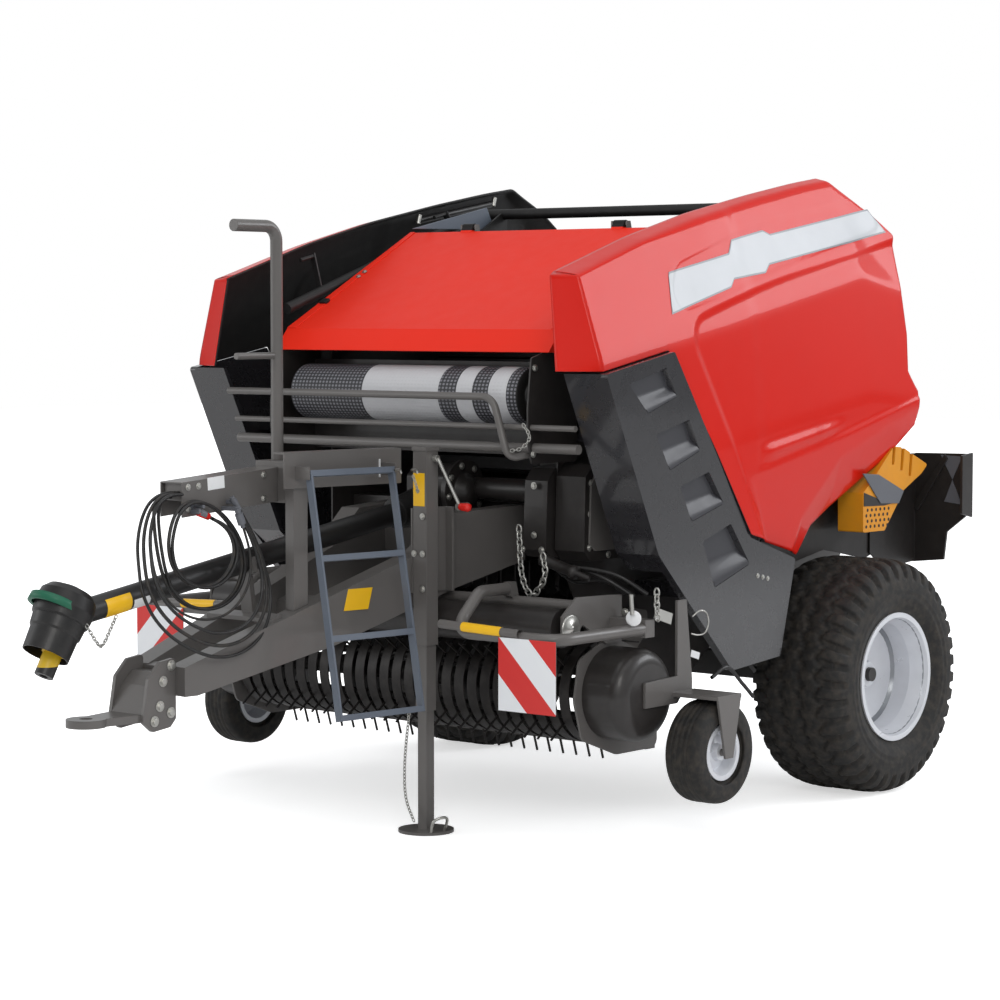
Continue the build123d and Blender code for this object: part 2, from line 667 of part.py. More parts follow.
sections = [cover_section(y, points) for y, *points in cover_sections]
with BuildPart() as side_cover_left:
    loft(sections, ruled=True)
    add(cover_field.part, mode=Mode.SUBTRACT)
    extrude(outline(side(800), cover_side, 24), amount=500, mode=Mode.INTERSECT)
    extrude(outline(across(-1890 + skin_t), [(870, 2226), (990, 2210), (1095, 1870), (920, 1850)]),
            amount=skin_t - 4)
    for y in hinge_spots:
        with BuildSketch(hinge_plane(y + knuckle_w / 2)):
            Circle(knuckle_r)
            with BuildLine():
                Polyline((4, knuckle_r - 1), (40, 12), (40, -6), (4, -knuckle_r + 1), close=True)
            make_face()
            Circle(hinge_pin_r + 0.05, mode=Mode.SUBTRACT)
        extrude(amount=-knuckle_w)

with BuildPart() as side_cover_right:
    add(mirror(side_cover_left.part, about=mid, mode=Mode.PRIVATE))

column_x = 1102
column_t = 38
pocket_deep = 24
column_in = 930
column_side = [(-1868, 1842), (-1526, 1123), (-1020, 620), (-673, 649), (-565, 1050), (-895, 1158),
        (-1425, 1925)]
# outline of each pocket in side view, from the top one down
pockets = [[(-1725, 1803), (-1478, 1862), (-1408, 1747), (-1599, 1685)],
           [(-1547, 1601), (-1326, 1654), (-1252, 1527), (-1454, 1456)],
           [(-1387, 1389), (-1190, 1440), (-1086, 1306), (-1306, 1245)],
           [(-1231, 1161), (-1036, 1222), (-900, 1049), (-1147, 969)]]
with BuildPart() as columns:
    extrude(outline(side(column_x), column_side, 14), amount=column_t)
    for pocket in pockets:
        extrude(outline(side(column_x + column_t), pocket, 10), amount=-pocket_deep, taper=22,
                mode=Mode.SUBTRACT)
    extrude(outline(side(column_in), [(-1868, 1842), (-1526, 1123), (-1440, 1050), (-1425, 1062),
            (-1508, 1130),
            (-1848, 1842)]), amount=column_x - column_in + 4)
    extrude(panel(side(wall_out + seat), (-1480, -1400), (1560, 1660)), amount=column_x - wall_out)
    extrude(panel(side(wall_out + seat), (-1000, -760), (900, 960)), amount=column_x - wall_out)
    mirror(about=mid)

# ---- axle, wheels -----------------------------------------------------------
spindle_r = 30
axle_end = track_half - 40
with BuildPart() as axle:
    with BuildSketch(side(-axle_end + 60)):
        with Locations((0, axle_z)):
            RectangleRounded(axle_box, axle_box, 12)
    extrude(amount=2 * (axle_end - 60))
    for s in (-1, 1):
        extrude(disc(side(s * (axle_end - 70) - 10), 0, axle_z, spindle_r), amount=20)
        extrude(disc(side(min(s * (axle_end - 61), s * (track_half + 90))), 0, axle_z, spindle_r),
                amount=track_half + 90 - axle_end + 61)
        extrude(outline(side(s * (wall_out + seat)), [(-420, 700), (-420, 840), (-125, 840), (-125, 655),
                (70, 580),
                (70, 440), (-70, 440), (-220, 560)]), amount=s * 30)

tread_h = 16
tread_grooves = [-128, -45, 45, 128]
groove_half = 7
lugs = 38
lug_gap = 26


def wheel_ring(x, y, z, half_profile, corner=0):
    """Ring turned about a wheel's axle from its half section, whose points are out from x and up from z."""
    with BuildPart() as ring:
        revolve(outline(across(y), [(x + out, z + up) for out, up in half_profile], corner),
                axis=Axis(at(x, y, z), (1, 0, 0)))
    return ring.part


def tyre_profile(width, outer, bead, bead_w, tread, flange, grooves=()):
    """Half section of a tyre: from one bead over the tread and its round grooves to the other."""
    high = outer - bead
    flank = [(bead_w / 2, bead), (bead_w / 2, flange + 1), (width / 2 - 3, bead + high * 0.3),
             (width / 2, bead + high * 0.5), (width / 2 - 6, bead + high * 0.72),
             (width / 2 - width * 0.07, outer - tread), (width * 0.33, outer - 2)]
    crown = [(groove + step * groove_half, outer - drop) for groove in grooves
             for step, drop in ((-1, 0), (-0.7, tread - 2), (0.7, tread - 2), (1, 0))]
    return [(-out, up) for out, up in flank] + crown + flank[::-1]


def tread_notch(x, s):
    """Gap between two lugs on the shoulder of a main tyre, s being the side that it opens to."""
    low = tyre_r - tread_h
    with BuildPart() as notch:
        extrude(outline(across(0), [(x + s * out, axle_z + up) for out, up in ((148, low), (188, low - 6),
                (222, low - 50), (250, low - 50), (250, tyre_r + 10), (148, tyre_r + 10))]),
                amount=lug_gap / 2, both=True)
    return notch.part


def treaded(x):
    """Main tyre at x, its shoulders cut into lugs, those of one side half a pitch from the other's."""
    wheel_axis = Axis(at(x, 0, axle_z), (1, 0, 0))
    with BuildPart() as tyre:
        add(wheel_ring(x, 0, axle_z, tyre_profile(tyre_w, tyre_r, rim_r + seat, rim_w - 2 * seat, tread_h,
                                                  rim_flange_r, tread_grooves)))
        for s in (-1, 1):
            notch = tread_notch(x, s)
            add([notch.rotate(wheel_axis, (i + s / 4) * 360 / lugs) for i in range(lugs)],
                    mode=Mode.SUBTRACT)
    return tyre.part


def rim_profile(s, width, radius, flange, disc_x, hub, bore):
    """Half section of a rim whose disc stands at disc_x, s being the side that faces out."""
    half = width / 2
    lip = flange - 22
    floor = radius - 18
    return [(s * x, r) for x, r in [(half + 8, flange), (half + 8, lip), (half - 70, floor - 14),
            (disc_x + 44, floor - 20), (disc_x + 14, hub + 30), (disc_x + 14, hub),
            (disc_x + 60, hub - 8),
            (disc_x + 60, bore), (disc_x - 80, bore), (disc_x - 80, hub - 8), (disc_x, hub),
            (disc_x, hub + 36),
            (disc_x + 20, floor - 16), (-half + 70, floor - 14), (-half - 8, lip), (-half - 8, flange),
            (-half, flange), (-half, radius), (-half + 50, radius), (-half + 72, floor),
            (half - 72, floor),
            (half - 50, radius), (half, radius), (half, flange)]]


wheels = {}
for name, s in (("left", 1), ("right", -1)):
    wheels[f"tyre_{name}"] = treaded(s * track_half)
    wheels[f"rim_{name}"] = wheel_ring(s * track_half, 0, axle_z,
                                       rim_profile(s, rim_w, rim_r, rim_flange_r, 10, hub_r,
                                       spindle_r + 0.05))

# ---- tailgate and its rams --------------------------------------------------
ram_x = wall_out + 70
ram_foot = (-620, 1250)
ram_eye = (150, 2050)
with BuildPart() as tailgate_walls:
    with BuildSketch(side(chamber_half)):
        with Locations((chamber_y, chamber_z)):
            Circle(wall_arc)
        with Locations((chamber_y + split - 1000, chamber_z)):
            Rectangle(2000, 3000, mode=Mode.SUBTRACT)
        with Locations((chamber_y, gate_pivot_z)):
            Circle(ear_r)
            Circle(pin_r + 0.05, mode=Mode.SUBTRACT)
    extrude(amount=wall_t)
    extrude(disc(side(wall_out), *ram_eye, 50), amount=ram_x - 16 - clear - wall_out)
    mirror(about=mid)

with BuildPart() as tailgate_beams:
    for turn in (66, 8, -36, -78):
        with BuildSketch(side(-chamber_half + seat)):
            with Locations((chamber_y + (wall_arc - 20) * math.cos(math.radians(turn)),
                            chamber_z + (wall_arc - 20) * math.sin(math.radians(turn)))):
                Rectangle(36, 60, rotation=turn)
        extrude(amount=2 * (chamber_half - seat))

ribs = 10
rib_h = 7
roller_wall = 8
roller_end = 10


def roller(turn):
    """Ribbed roller of the chamber at an angle round it, up from straight back."""
    y = chamber_y + ring_r * math.cos(math.radians(turn))
    z = chamber_z + ring_r * math.sin(math.radians(turn))
    with BuildPart() as drum:
        with BuildSketch(side(-chamber_half + clear)):
            with Locations((y, z)):
                Circle(roller_r - rib_h)
                with PolarLocations(roller_r - rib_h, ribs):
                    Rectangle(rib_h * 2, 14)
        extrude(amount=2 * (chamber_half - clear))
        extrude(disc(side(-chamber_half + clear + roller_end), y, z, roller_r - rib_h - roller_wall),
                amount=2 * (chamber_half - clear - roller_end), mode=Mode.SUBTRACT)
        extrude(disc(side(-chamber_half + seat), y, z, 30), amount=clear)
        extrude(disc(side(chamber_half - seat), y, z, 30), amount=-clear)
    return drum.part


front_turns = [100, 120, 140, 160, 180, 200, 240, 260]
gate_turns = [280, 300, 320, 340, 0, 20, 40, 60, 80]
rollers = {"front_rollers": [roller(turn) for turn in front_turns],
           "tailgate_rollers": [roller(turn) for turn in gate_turns]}

ram_turn = math.atan2(ram_eye[1] - ram_foot[1], ram_eye[0] - ram_foot[0])
ram_len = math.hypot(ram_eye[0] - ram_foot[0], ram_eye[1] - ram_foot[1])
barrel_r = 38
rod_r = 20


def ram_plane(along, x=ram_x):
    """Plane square to a ram, a distance along it from its foot."""
    return Plane(origin=at(x, ram_foot[0] + along * math.cos(ram_turn),
            ram_foot[1] + along * math.sin(ram_turn)),
                 x_dir=(1, 0, 0), z_dir=(0, math.cos(ram_turn), math.sin(ram_turn)))


barrel_len = 760
with BuildPart() as ram_barrel:
    with BuildSketch(ram_plane(50)):
        Circle(barrel_r)
    extrude(amount=barrel_len)
    with BuildSketch(ram_plane(90)):
        Circle(rod_r + 0.5)
    extrude(amount=barrel_len, mode=Mode.SUBTRACT)
    extrude(disc(side(ram_x - 18), *ram_foot, 34, 16.05), amount=36)
    with BuildSketch(ram_plane(33)):
        Rectangle(36, 50)
    extrude(amount=30)

with BuildPart() as ram_rod:
    with BuildSketch(ram_plane(200)):
        Circle(rod_r)
    extrude(amount=ram_len - 200 - 32)
    extrude(disc(side(ram_x - 16), *ram_eye, 34, 18), amount=32)

with BuildPart() as ram_feet:
    extrude(disc(side(wall_out + seat), *ram_foot, 45), amount=ram_x - 18 - 1 - wall_out)
    extrude(disc(side(wall_out + seat), *ram_foot, 16), amount=ram_x + 24 - wall_out)
    mirror(about=mid)

# ---- lights, chocks and plates at the back ----------------------------------
with BuildPart() as side_plates:
    extrude(outline(side(940), [(-700, 900), (-480, 1190), (180, 1440), (400, 1440), (430, 1030),
            (270, 985),
            (-60, 1045), (-330, 1000), (-480, 860)]), amount=8)
    extrude(panel(side(wall_out + seat), (-330, -270), (1160, 1220)), amount=940 - wall_out - seat)
    mirror(about=mid)

with BuildPart() as light_brackets:
    extrude(outline(side(948 + seat), [(300, 1010), (300, 1300), (640, 1440), (690, 1440), (690, 950),
            (420, 930)]), amount=8)
    with BuildSketch(across(690)):
        with BuildLine():
            Polyline((800, 1010), (930, 943), (1108, 962), (1123, 1088), (1242, 1180), (1242, 1446), (956, 1442),
                     (956, 1250), (800, 1130), close=True)
        make_face()
    extrude(amount=12)
    extrude(outline(side(1238), [(600, 1180), (600, 1440), (690, 1450), (690, 1160)]), amount=12)
    mirror(about=mid)

chock_x = (1000, 1130)
chock_side = [(-28, 1126), (145, 1126), (250, 1239), (292, 1292), (448, 1364), (498, 1402), (290, 1486),
              (214, 1492), (70, 1372), (-30, 1298)]
with BuildPart() as wheel_chocks:
    extrude(outline(side(chock_x[0]), chock_side, 8), amount=chock_x[1] - chock_x[0])
    for step in (1, 2, 3):
        extrude(outline(side(chock_x[0] - 1), [(140 + 70 * step, 1545 - 28 * step),
                (165 + 70 * step, 1545 - 28 * step),
                (150 + 70 * step, 1440 - 28 * step), (130 + 70 * step, 1440 - 28 * step)]),
                amount=chock_x[1] - chock_x[0] + 2, mode=Mode.SUBTRACT)
    extrude(panel(side(948 + seat), (60, 140), (1200, 1280)),
            amount=chock_x[0] - 948)
    mirror(about=mid)

# ---- pick-up ----------------------------------------------------------------
arm_in = wall_out + clear
reel_pin_r = 25
with BuildPart() as pickup_frame:
    extrude(outline(side(arm_in), [(rotor_y + 60, 740), (rotor_y + 60, 830), (rotor_y - 60, 850),
            (-1200, 640),
            (-1290, 400), (-1290, 320), (-1230, 320), (-1140, 560)], 20), amount=14)
    extrude(disc(side(arm_in), rotor_y, rotor_z, 30.05), amount=14, mode=Mode.SUBTRACT)
    extrude(outline(side(pickup_half), [(-1830, 560), (-1800, 720), (-1600, 800), (-1330, 700),
            (-1290, 480), (-1290, 320),
            (-1560, 320), (-1780, 400)], 40), amount=pickup_t)
    extrude(disc(side(pickup_half), reel_y, reel_z, reel_pin_r + 0.05), amount=pickup_t,
            mode=Mode.SUBTRACT)
    mirror(about=mid)
    extrude(panel(side(-pickup_half), (-1350, -1290), (315, 375)),
            amount=2 * pickup_half)

with BuildPart() as pickup_pivots:
    extrude(disc(side(wall_out + seat), rotor_y, rotor_z, 30), amount=clear + 24)
    mirror(about=mid)

bands = 27
band_w = 48
band_pitch = 2 * (pickup_half - 64) / (bands - 1)
band_xs = [(i - (bands - 1) / 2) * band_pitch for i in range(bands)]
with BuildPart() as strippers:
    with BuildSketch(*[side(x - band_w / 2) for x in band_xs]):
        with Locations((reel_y, reel_z)):
            Circle(band_r)
            Circle(band_r - 6, mode=Mode.SUBTRACT)
        with BuildLine():
            Polyline((reel_y, reel_z - 400), (reel_y, reel_z + 400), (reel_y + 400, reel_z + 400),
                     (reel_y + 400, reel_z - 400), close=True)
        make_face(mode=Mode.SUBTRACT)
        with BuildLine():
            Polyline((reel_y, reel_z + band_r), (-1345, 752), (-1345, 746), (reel_y, reel_z + band_r - 6),
                    close=True)
        make_face()
        with BuildLine():
            Polyline((reel_y, reel_z - band_r), (-1350 - seat, 340), (-1350 - seat, 346),
                     (reel_y, reel_z - band_r + 6), close=True)
        make_face()
    extrude(amount=band_w)

bars = 5
with BuildPart() as reel:
    extrude(disc(side(-pickup_half + 8), reel_y, reel_z, 40), amount=2 * (pickup_half - 8))
    extrude(disc(side(-drum_in + 2 * seat), reel_y, reel_z, reel_pin_r), amount=2 * (drum_in - 2 * seat))
    with BuildSketch(side(-pickup_half + 18)):
        with Locations((reel_y, reel_z)):
            with PolarLocations(reel_r, bars):
                Circle(16)
    extrude(amount=2 * (pickup_half - 18))
    with BuildSketch(*[side((pickup_half - 45) * i / 3 - 3) for i in (-3, -1, 1, 3)]):
        with Locations((reel_y, reel_z)):
            Circle(reel_r + 20)
    extrude(amount=6)
    gaps = [(a + b) / 2 for a, b in zip(band_xs, band_xs[1:])]
    with BuildSketch(*[side(x - 3.5) for x in gaps]):
        with Locations((reel_y, reel_z)):
            with PolarLocations((reel_r + tine_r) / 2, bars):
                Rectangle(tine_r - reel_r, 7)
    extrude(amount=7)

drum_r = 185
with BuildPart() as pickup_drums:
    extrude(disc(side(drum_in), reel_y, reel_z, drum_r), amount=drum_half - drum_in)
    fillet(pickup_drums.edges().filter_by(GeomType.CIRCLE).sort_by(Axis.X)[-1], 60)
    mirror(about=mid)

press_half = pickup_half - 18
press_wall = 6
press_y = -1868
press_z = 850
press_r = 78
with BuildPart() as crop_roller:
    extrude(disc(side(-press_half), press_y, press_z, press_r), amount=2 * press_half)
    extrude(disc(side(-press_half + press_wall), press_y, press_z, press_r - press_wall),
            amount=2 * (press_half - press_wall), mode=Mode.SUBTRACT)
    for s in (-1, 1):
        extrude(disc(side(s * press_half), press_y, press_z, 18), amount=s * (drum_in + 10 - press_half))

guard_y = -2155
guard_z = 838
guard_r = 24
guard_half = drum_half - 25
wind_beam = (-1790, 929)
wind_r = 25
leg_x = drum_half - 535
leg_end = -1832
board = 282
board_out = drum_half - 5
with BuildPart() as wind_guard:
    extrude(disc(side(-drum_in), *wind_beam, wind_r), amount=2 * drum_in)
    for s in (-1, 1):
        extrude(outline(side(s * leg_x - 15), [(wind_beam[0] - 15, wind_beam[1] + 15), (leg_end, 955),
                (leg_end, 1010),
                (wind_beam[0], 1010), (wind_beam[0] + 20, wind_beam[1] + 10)]), amount=30)
    extrude(outline(side(drum_in), [(-1640, 772), (-1540, 772), (-1540, 960), (-1620, 965), (-1830, 970),
            (-1920, 900),
            (-1920, 810), (-1860, 800), (-1790, 860)]), amount=10)
    extrude(disc(side(drum_in), press_y, press_z, 18.05), amount=10, mode=Mode.SUBTRACT)
    extrude(panel(side(drum_in + 10), (-1620, -1560), (805, 875)), amount=guard_half - drum_in + 10)
    mirror(about=mid)

with BuildPart() as guard_tube:
    with BuildLine():
        FilletPolyline(at(guard_half, -1620 - seat, guard_z), at(guard_half, guard_y, guard_z),
                       at(leg_x, guard_y, guard_z), at(leg_x, -2000, 984), at(leg_x, leg_end - seat, 984),
                       radius=[90, 90, 60])
    with BuildSketch(across(-1620 - seat)):
        with Locations((guard_half, guard_z)):
            Circle(guard_r)
    sweep()
    mirror(about=mid)

with BuildPart() as warning_boards:
    with BuildSketch(across(guard_y - guard_r - seat)):
        with Locations((board_out - board / 2, guard_z - board / 2)):
            RectangleRounded(board, board, 8)
    extrude(amount=3)
    mirror(about=mid)

gauge_x = drum_half + 133
gauge_y = -1380
gauge_z = 345
gauge_r = 205
gauge_w = 165
gauge_rim_r = 100
gauge_rim_half = 60
gauge_axle_r = 14
fork_out = gauge_x + gauge_w / 2 + clear
with BuildPart() as gauge_forks:
    extrude(outline(side(drum_half + seat), [(-1640, 530), (-1640, 630), (-1400, 640), (-1400, 560),
            (-1430, 530)]),
            amount=12)
    extrude(outline(side(drum_half + seat), [(-1430, 560), (-1430, 940), (-1370, 940), (-1330, 620),
            (-1330, 560)]), amount=12)
    extrude(panel(side(drum_half + seat), (-1460, -1300), (560, 576)),
            amount=fork_out + 10 - drum_half - seat)
    extrude(outline(side(fork_out), [(gauge_y - 80, 576), (gauge_y + 80, 576),
            (gauge_y + 26, gauge_z - 20),
            (gauge_y - 26, gauge_z - 20)]), amount=10)
    extrude(disc(side(gauge_x - gauge_rim_half), gauge_y, gauge_z, gauge_axle_r),
            amount=fork_out - gauge_x + gauge_rim_half + 6)
    mirror(about=mid)

def gauge_rim_profile(s):
    """Half section of a gauge wheel's rim, s being the side that faces out."""
    half = gauge_rim_half
    tube = gauge_rim_r - 8
    flange = gauge_rim_r + 12
    hub = gauge_axle_r + 18
    return [(s * x, r) for x, r in [(half + 8, flange), (half + 8, tube), (half * 0.4, tube * 0.76),
            (half * 0.6, hub + 4), (half, hub), (half, gauge_axle_r + 0.05), (-half, gauge_axle_r + 0.05),
            (-half, hub), (half * 0.4, hub + 6), (half * 0.15, tube * 0.8), (-half - 8, tube),
            (-half - 8, flange),
            (-half, flange), (-half, gauge_rim_r), (half, gauge_rim_r), (half, flange)]]


for name, s in (("left", 1), ("right", -1)):
    wheels[f"gauge_tyre_{name}"] = wheel_ring(s * gauge_x, gauge_y, gauge_z,
                                              tyre_profile(gauge_w, gauge_r, gauge_rim_r + seat,
                                              2 * (gauge_rim_half - seat), 6,
                                                           gauge_rim_r + 12))
    wheels[f"gauge_rim_{name}"] = wheel_ring(s * gauge_x, gauge_y, gauge_z, gauge_rim_profile(s))

# ---- feed rotor -------------------------------------------------------------
rotor_core = 90
rotor_wall = 8
rotor_discs = 15
with BuildPart() as feed_rotor:
    extrude(disc(side(-chamber_half + clear), rotor_y, rotor_z, rotor_core),
            amount=2 * (chamber_half - clear))
    with BuildSketch(*[side((i / (rotor_discs - 1) - 0.5) * 2 * (chamber_half
            - 58)) for i in range(rotor_discs)]):
        with Locations((rotor_y, rotor_z)):
            Circle(rotor_core + 30)
            with PolarLocations(rotor_r - 75, 4):
                Rectangle(150, 70)
    extrude(amount=8)
    extrude(disc(side(-chamber_half + clear + rotor_wall), rotor_y, rotor_z, rotor_core - rotor_wall),
            amount=2 * (chamber_half - clear - rotor_wall), mode=Mode.SUBTRACT)
    for s in (-1, 1):
        extrude(disc(side(s * (chamber_half - seat)), rotor_y, rotor_z, 18), amount=-s * (clear + 1))

# ---- write the pieces -------------------------------------------------------
pieces = {
    "chamber_walls": chamber_walls, "cross_beams": cross_beams,
    "top_frame": top_frame, "drawbar": drawbar, "hitch": hitch, "gearbox": gearbox,
    "drive_case": drive_case,
    "pto_shaft": pto_shaft, "pto_guard": pto_guard, "platform": platform, "hose_arm": hose_arm,
    "couplings": couplings,
    "handrail": handrail, "ladder": ladder, "jack_housing": jack_housing, "jack_leg": jack_leg,
    "jack_crank": jack_crank, "net_box": net_box, "net_roll": net_roll, "front_bars": front_bars,
    "hood": hood,
    "side_cover_left": side_cover_left, "side_cover_right": side_cover_right,
    "columns": columns, "axle": axle, "tailgate_walls": tailgate_walls, "tailgate_beams": tailgate_beams,
    "side_plates": side_plates, "light_brackets": light_brackets,
    "wheel_chocks": wheel_chocks, "pickup_frame": pickup_frame,
    "strippers": strippers, "reel": reel, "pickup_drums": pickup_drums, "crop_roller": crop_roller,
    "wind_guard": wind_guard, "guard_tube": guard_tube, "warning_boards": warning_boards,
    "gauge_forks": gauge_forks, "feed_rotor": feed_rotor,
}
solids = {name: built.part for name, built in pieces.items()}
solids["ram_barrel_left"] = ram_barrel.part
solids["ram_barrel_right"] = mirror(ram_barrel.part, about=mid)
solids["ram_rod_left"] = ram_rod.part
solids["ram_rod_right"] = mirror(ram_rod.part, about=mid)
solids.update(wheels)
solids.update(hoses)
solids["pin_brackets"] = Compound(children=[*gate_brackets.solids(), *hood_hinges.solids(),
        *ram_feet.solids(),
                                            *pickup_pivots.solids()])
solids.update({name: Compound(children=drums) for name, drums in rollers.items()})
for name, solid in solids.items():
    solid.label = name
    export_step(solid, f"parts/{name}.step")
print(len(solids), "pieces")
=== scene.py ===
import math
import bpy
import numpy as np
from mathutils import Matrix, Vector


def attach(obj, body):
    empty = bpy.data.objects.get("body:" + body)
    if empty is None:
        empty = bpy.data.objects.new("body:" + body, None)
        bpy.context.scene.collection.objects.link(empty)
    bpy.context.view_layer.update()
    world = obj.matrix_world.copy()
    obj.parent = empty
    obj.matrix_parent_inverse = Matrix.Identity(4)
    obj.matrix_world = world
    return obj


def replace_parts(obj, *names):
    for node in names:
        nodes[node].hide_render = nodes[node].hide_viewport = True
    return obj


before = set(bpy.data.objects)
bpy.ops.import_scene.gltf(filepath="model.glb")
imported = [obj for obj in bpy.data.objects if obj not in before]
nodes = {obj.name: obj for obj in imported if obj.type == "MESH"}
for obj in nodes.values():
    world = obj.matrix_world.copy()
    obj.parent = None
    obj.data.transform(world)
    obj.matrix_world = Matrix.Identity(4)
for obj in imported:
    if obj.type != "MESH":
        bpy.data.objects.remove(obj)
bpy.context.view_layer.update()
axleY = 1.515
sides = ((1, "Left"), (-1, "Right"))
print("loaded", len(nodes), "nodes")


def place(x, y, z):
    # a point of the machine from its place behind the axle
    return np.array([x, y + axleY, z], float)


def linear(rgb):
    c = np.array(rgb, float) / 255
    return tuple(np.where(c <= 0.04045, c / 12.92, ((c + 0.055) / 1.055) ** 2.4)) + (1.0,)


def added(name, data):
    # an object at the origin, linked into the scene
    piece = bpy.data.objects.new(name, data)
    bpy.context.scene.collection.objects.link(piece)
    return piece


def feed(tree, socket, value):
    # a node's output is linked to the socket, anything else becomes its value
    if isinstance(value, bpy.types.NodeSocket):
        tree.links.new(value, socket)
    else:
        socket.default_value = value


def fillRamp(ramp, stops):
    while len(ramp.elements) < len(stops):
        ramp.elements.new(0.5)
    for element, (position, colour) in zip(ramp.elements, stops):
        element.position = position
        element.color = colour


class Shader:
    # thin helper that adds nodes to one material and links them
    def __init__(self, name):
        self.mat = bpy.data.materials.new(name)
        self.mat.use_nodes = True
        self.tree = self.mat.node_tree
        self.bsdf = self.tree.nodes["Principled BSDF"]
        self.coord = self.tree.nodes.new("ShaderNodeTexCoord").outputs["Object"]

    def add(self, kind, **inputs):
        node = self.tree.nodes.new(kind)
        for key, value in inputs.items():
            feed(self.tree, node.inputs[key.replace("_", " ")], value)
        return node

    def noise(self, scale, detail=4.0):
        node = self.add("ShaderNodeTexNoise", Vector=self.coord, Scale=scale, Detail=detail, Roughness=0.55)
        return node.outputs["Fac"]

    def ramp(self, fac, stops):
        node = self.add("ShaderNodeValToRGB", Fac=fac)
        fillRamp(node.color_ramp, stops)
        return node.outputs["Color"]

    def mix(self, fac, a, b):
        node = self.tree.nodes.new("ShaderNodeMix")
        node.data_type = "RGBA"
        for k, value in ((0, fac), (6, a), (7, b)):
            feed(self.tree, node.inputs[k], value)
        return node.outputs[2]

    def math(self, op, a, b=0.0):
        node = self.tree.nodes.new("ShaderNodeMath")
        node.operation = op
        feed(self.tree, node.inputs[0], a)
        feed(self.tree, node.inputs[1], b)
        return node.outputs[0]

    def axes(self):
        return self.add("ShaderNodeSeparateXYZ", Vector=self.coord).outputs

    def grain(self, height, strength, distance, edge=True):
        # fine bumps, with edges that look rounded over 3 mm
        node = self.add("ShaderNodeBump", Strength=strength, Distance=distance, Height=height)
        if edge:
            soft = self.add("ShaderNodeBevel", Radius=0.003)
            soft.samples = 4
            self.tree.links.new(soft.outputs[0], node.inputs["Normal"])
        self.tree.links.new(node.outputs["Normal"], self.bsdf.inputs["Normal"])

    def set(self, **inputs):
        for key, value in inputs.items():
            feed(self.tree, self.bsdf.inputs[key.replace("_", " ")], value)
        return self.mat


paintWork = {"cloudScale": 2.5, "dustScale": 22.0, "dust": (104, 99, 94), "dustLine": 1.1,
             "capColour": (30, 29, 29), "grainScale": 420.0, "grainDeep": 0.0006,
             "glossScale": 14.0, "glossSpread": 0.16}


def painted(name, rgb, rough, wear, grain, coat=0.0, metallic=0.0, low=0.0, shade=0.85, sheen=0.4, edge=True,
            cap=None):
    # paint with a soft cloudy shade and a film of dust, thicker towards the ground where low is above 0,
    # and black above the height cap
    w = paintWork
    s = Shader(name)
    base = linear(rgb)
    dark = tuple(shade * v for v in base[:3]) + (1.0,)
    cloud = s.ramp(s.noise(w["cloudScale"]), [(0.35, dark), (0.62, base)])
    film = s.ramp(s.noise(w["dustScale"], 6.0), [(0.45, (0, 0, 0, 1)), (0.75, (wear,) * 3 + (1,))])
    if low:
        height = s.math("MULTIPLY", s.math("SUBTRACT", w["dustLine"], s.axes()[2]), low)
        film = s.math("ADD", film, s.math("MAXIMUM", height, 0.0))
    colour = s.mix(film, s.mix(0.6, base, cloud), linear(w["dust"]))
    if cap:
        colour = s.mix(s.math("GREATER_THAN", s.axes()[2], cap), colour, linear(w["capColour"]))
    s.grain(s.noise(w["grainScale"], 3.0), grain, w["grainDeep"], edge)
    spread = w["glossSpread"]
    gloss = s.math("ADD", s.math("MULTIPLY", s.noise(w["glossScale"]), spread), rough - spread / 2)
    return s.set(Base_Color=colour, Roughness=gloss, Metallic=metallic, Coat_Weight=coat, Coat_Roughness=0.07,
                 Specular_IOR_Level=sheen)


def plainRubber(name, rgb, rough=0.72):
    # rubber with brown dust in the low spots of a fine noise
    s = Shader(name)
    fac = s.ramp(s.noise(30.0, 6.0), [(0.4, (0, 0, 0, 1)), (0.8, (0.35, 0.35, 0.35, 1))])
    colour = s.mix(fac, linear(rgb), linear((88, 78, 66)))
    s.grain(s.noise(260.0, 4.0), 0.35, 0.001)
    gloss = s.math("ADD", s.math("MULTIPLY", s.noise(9.0), 0.2), rough - 0.1)
    return s.set(Base_Color=colour, Roughness=gloss)


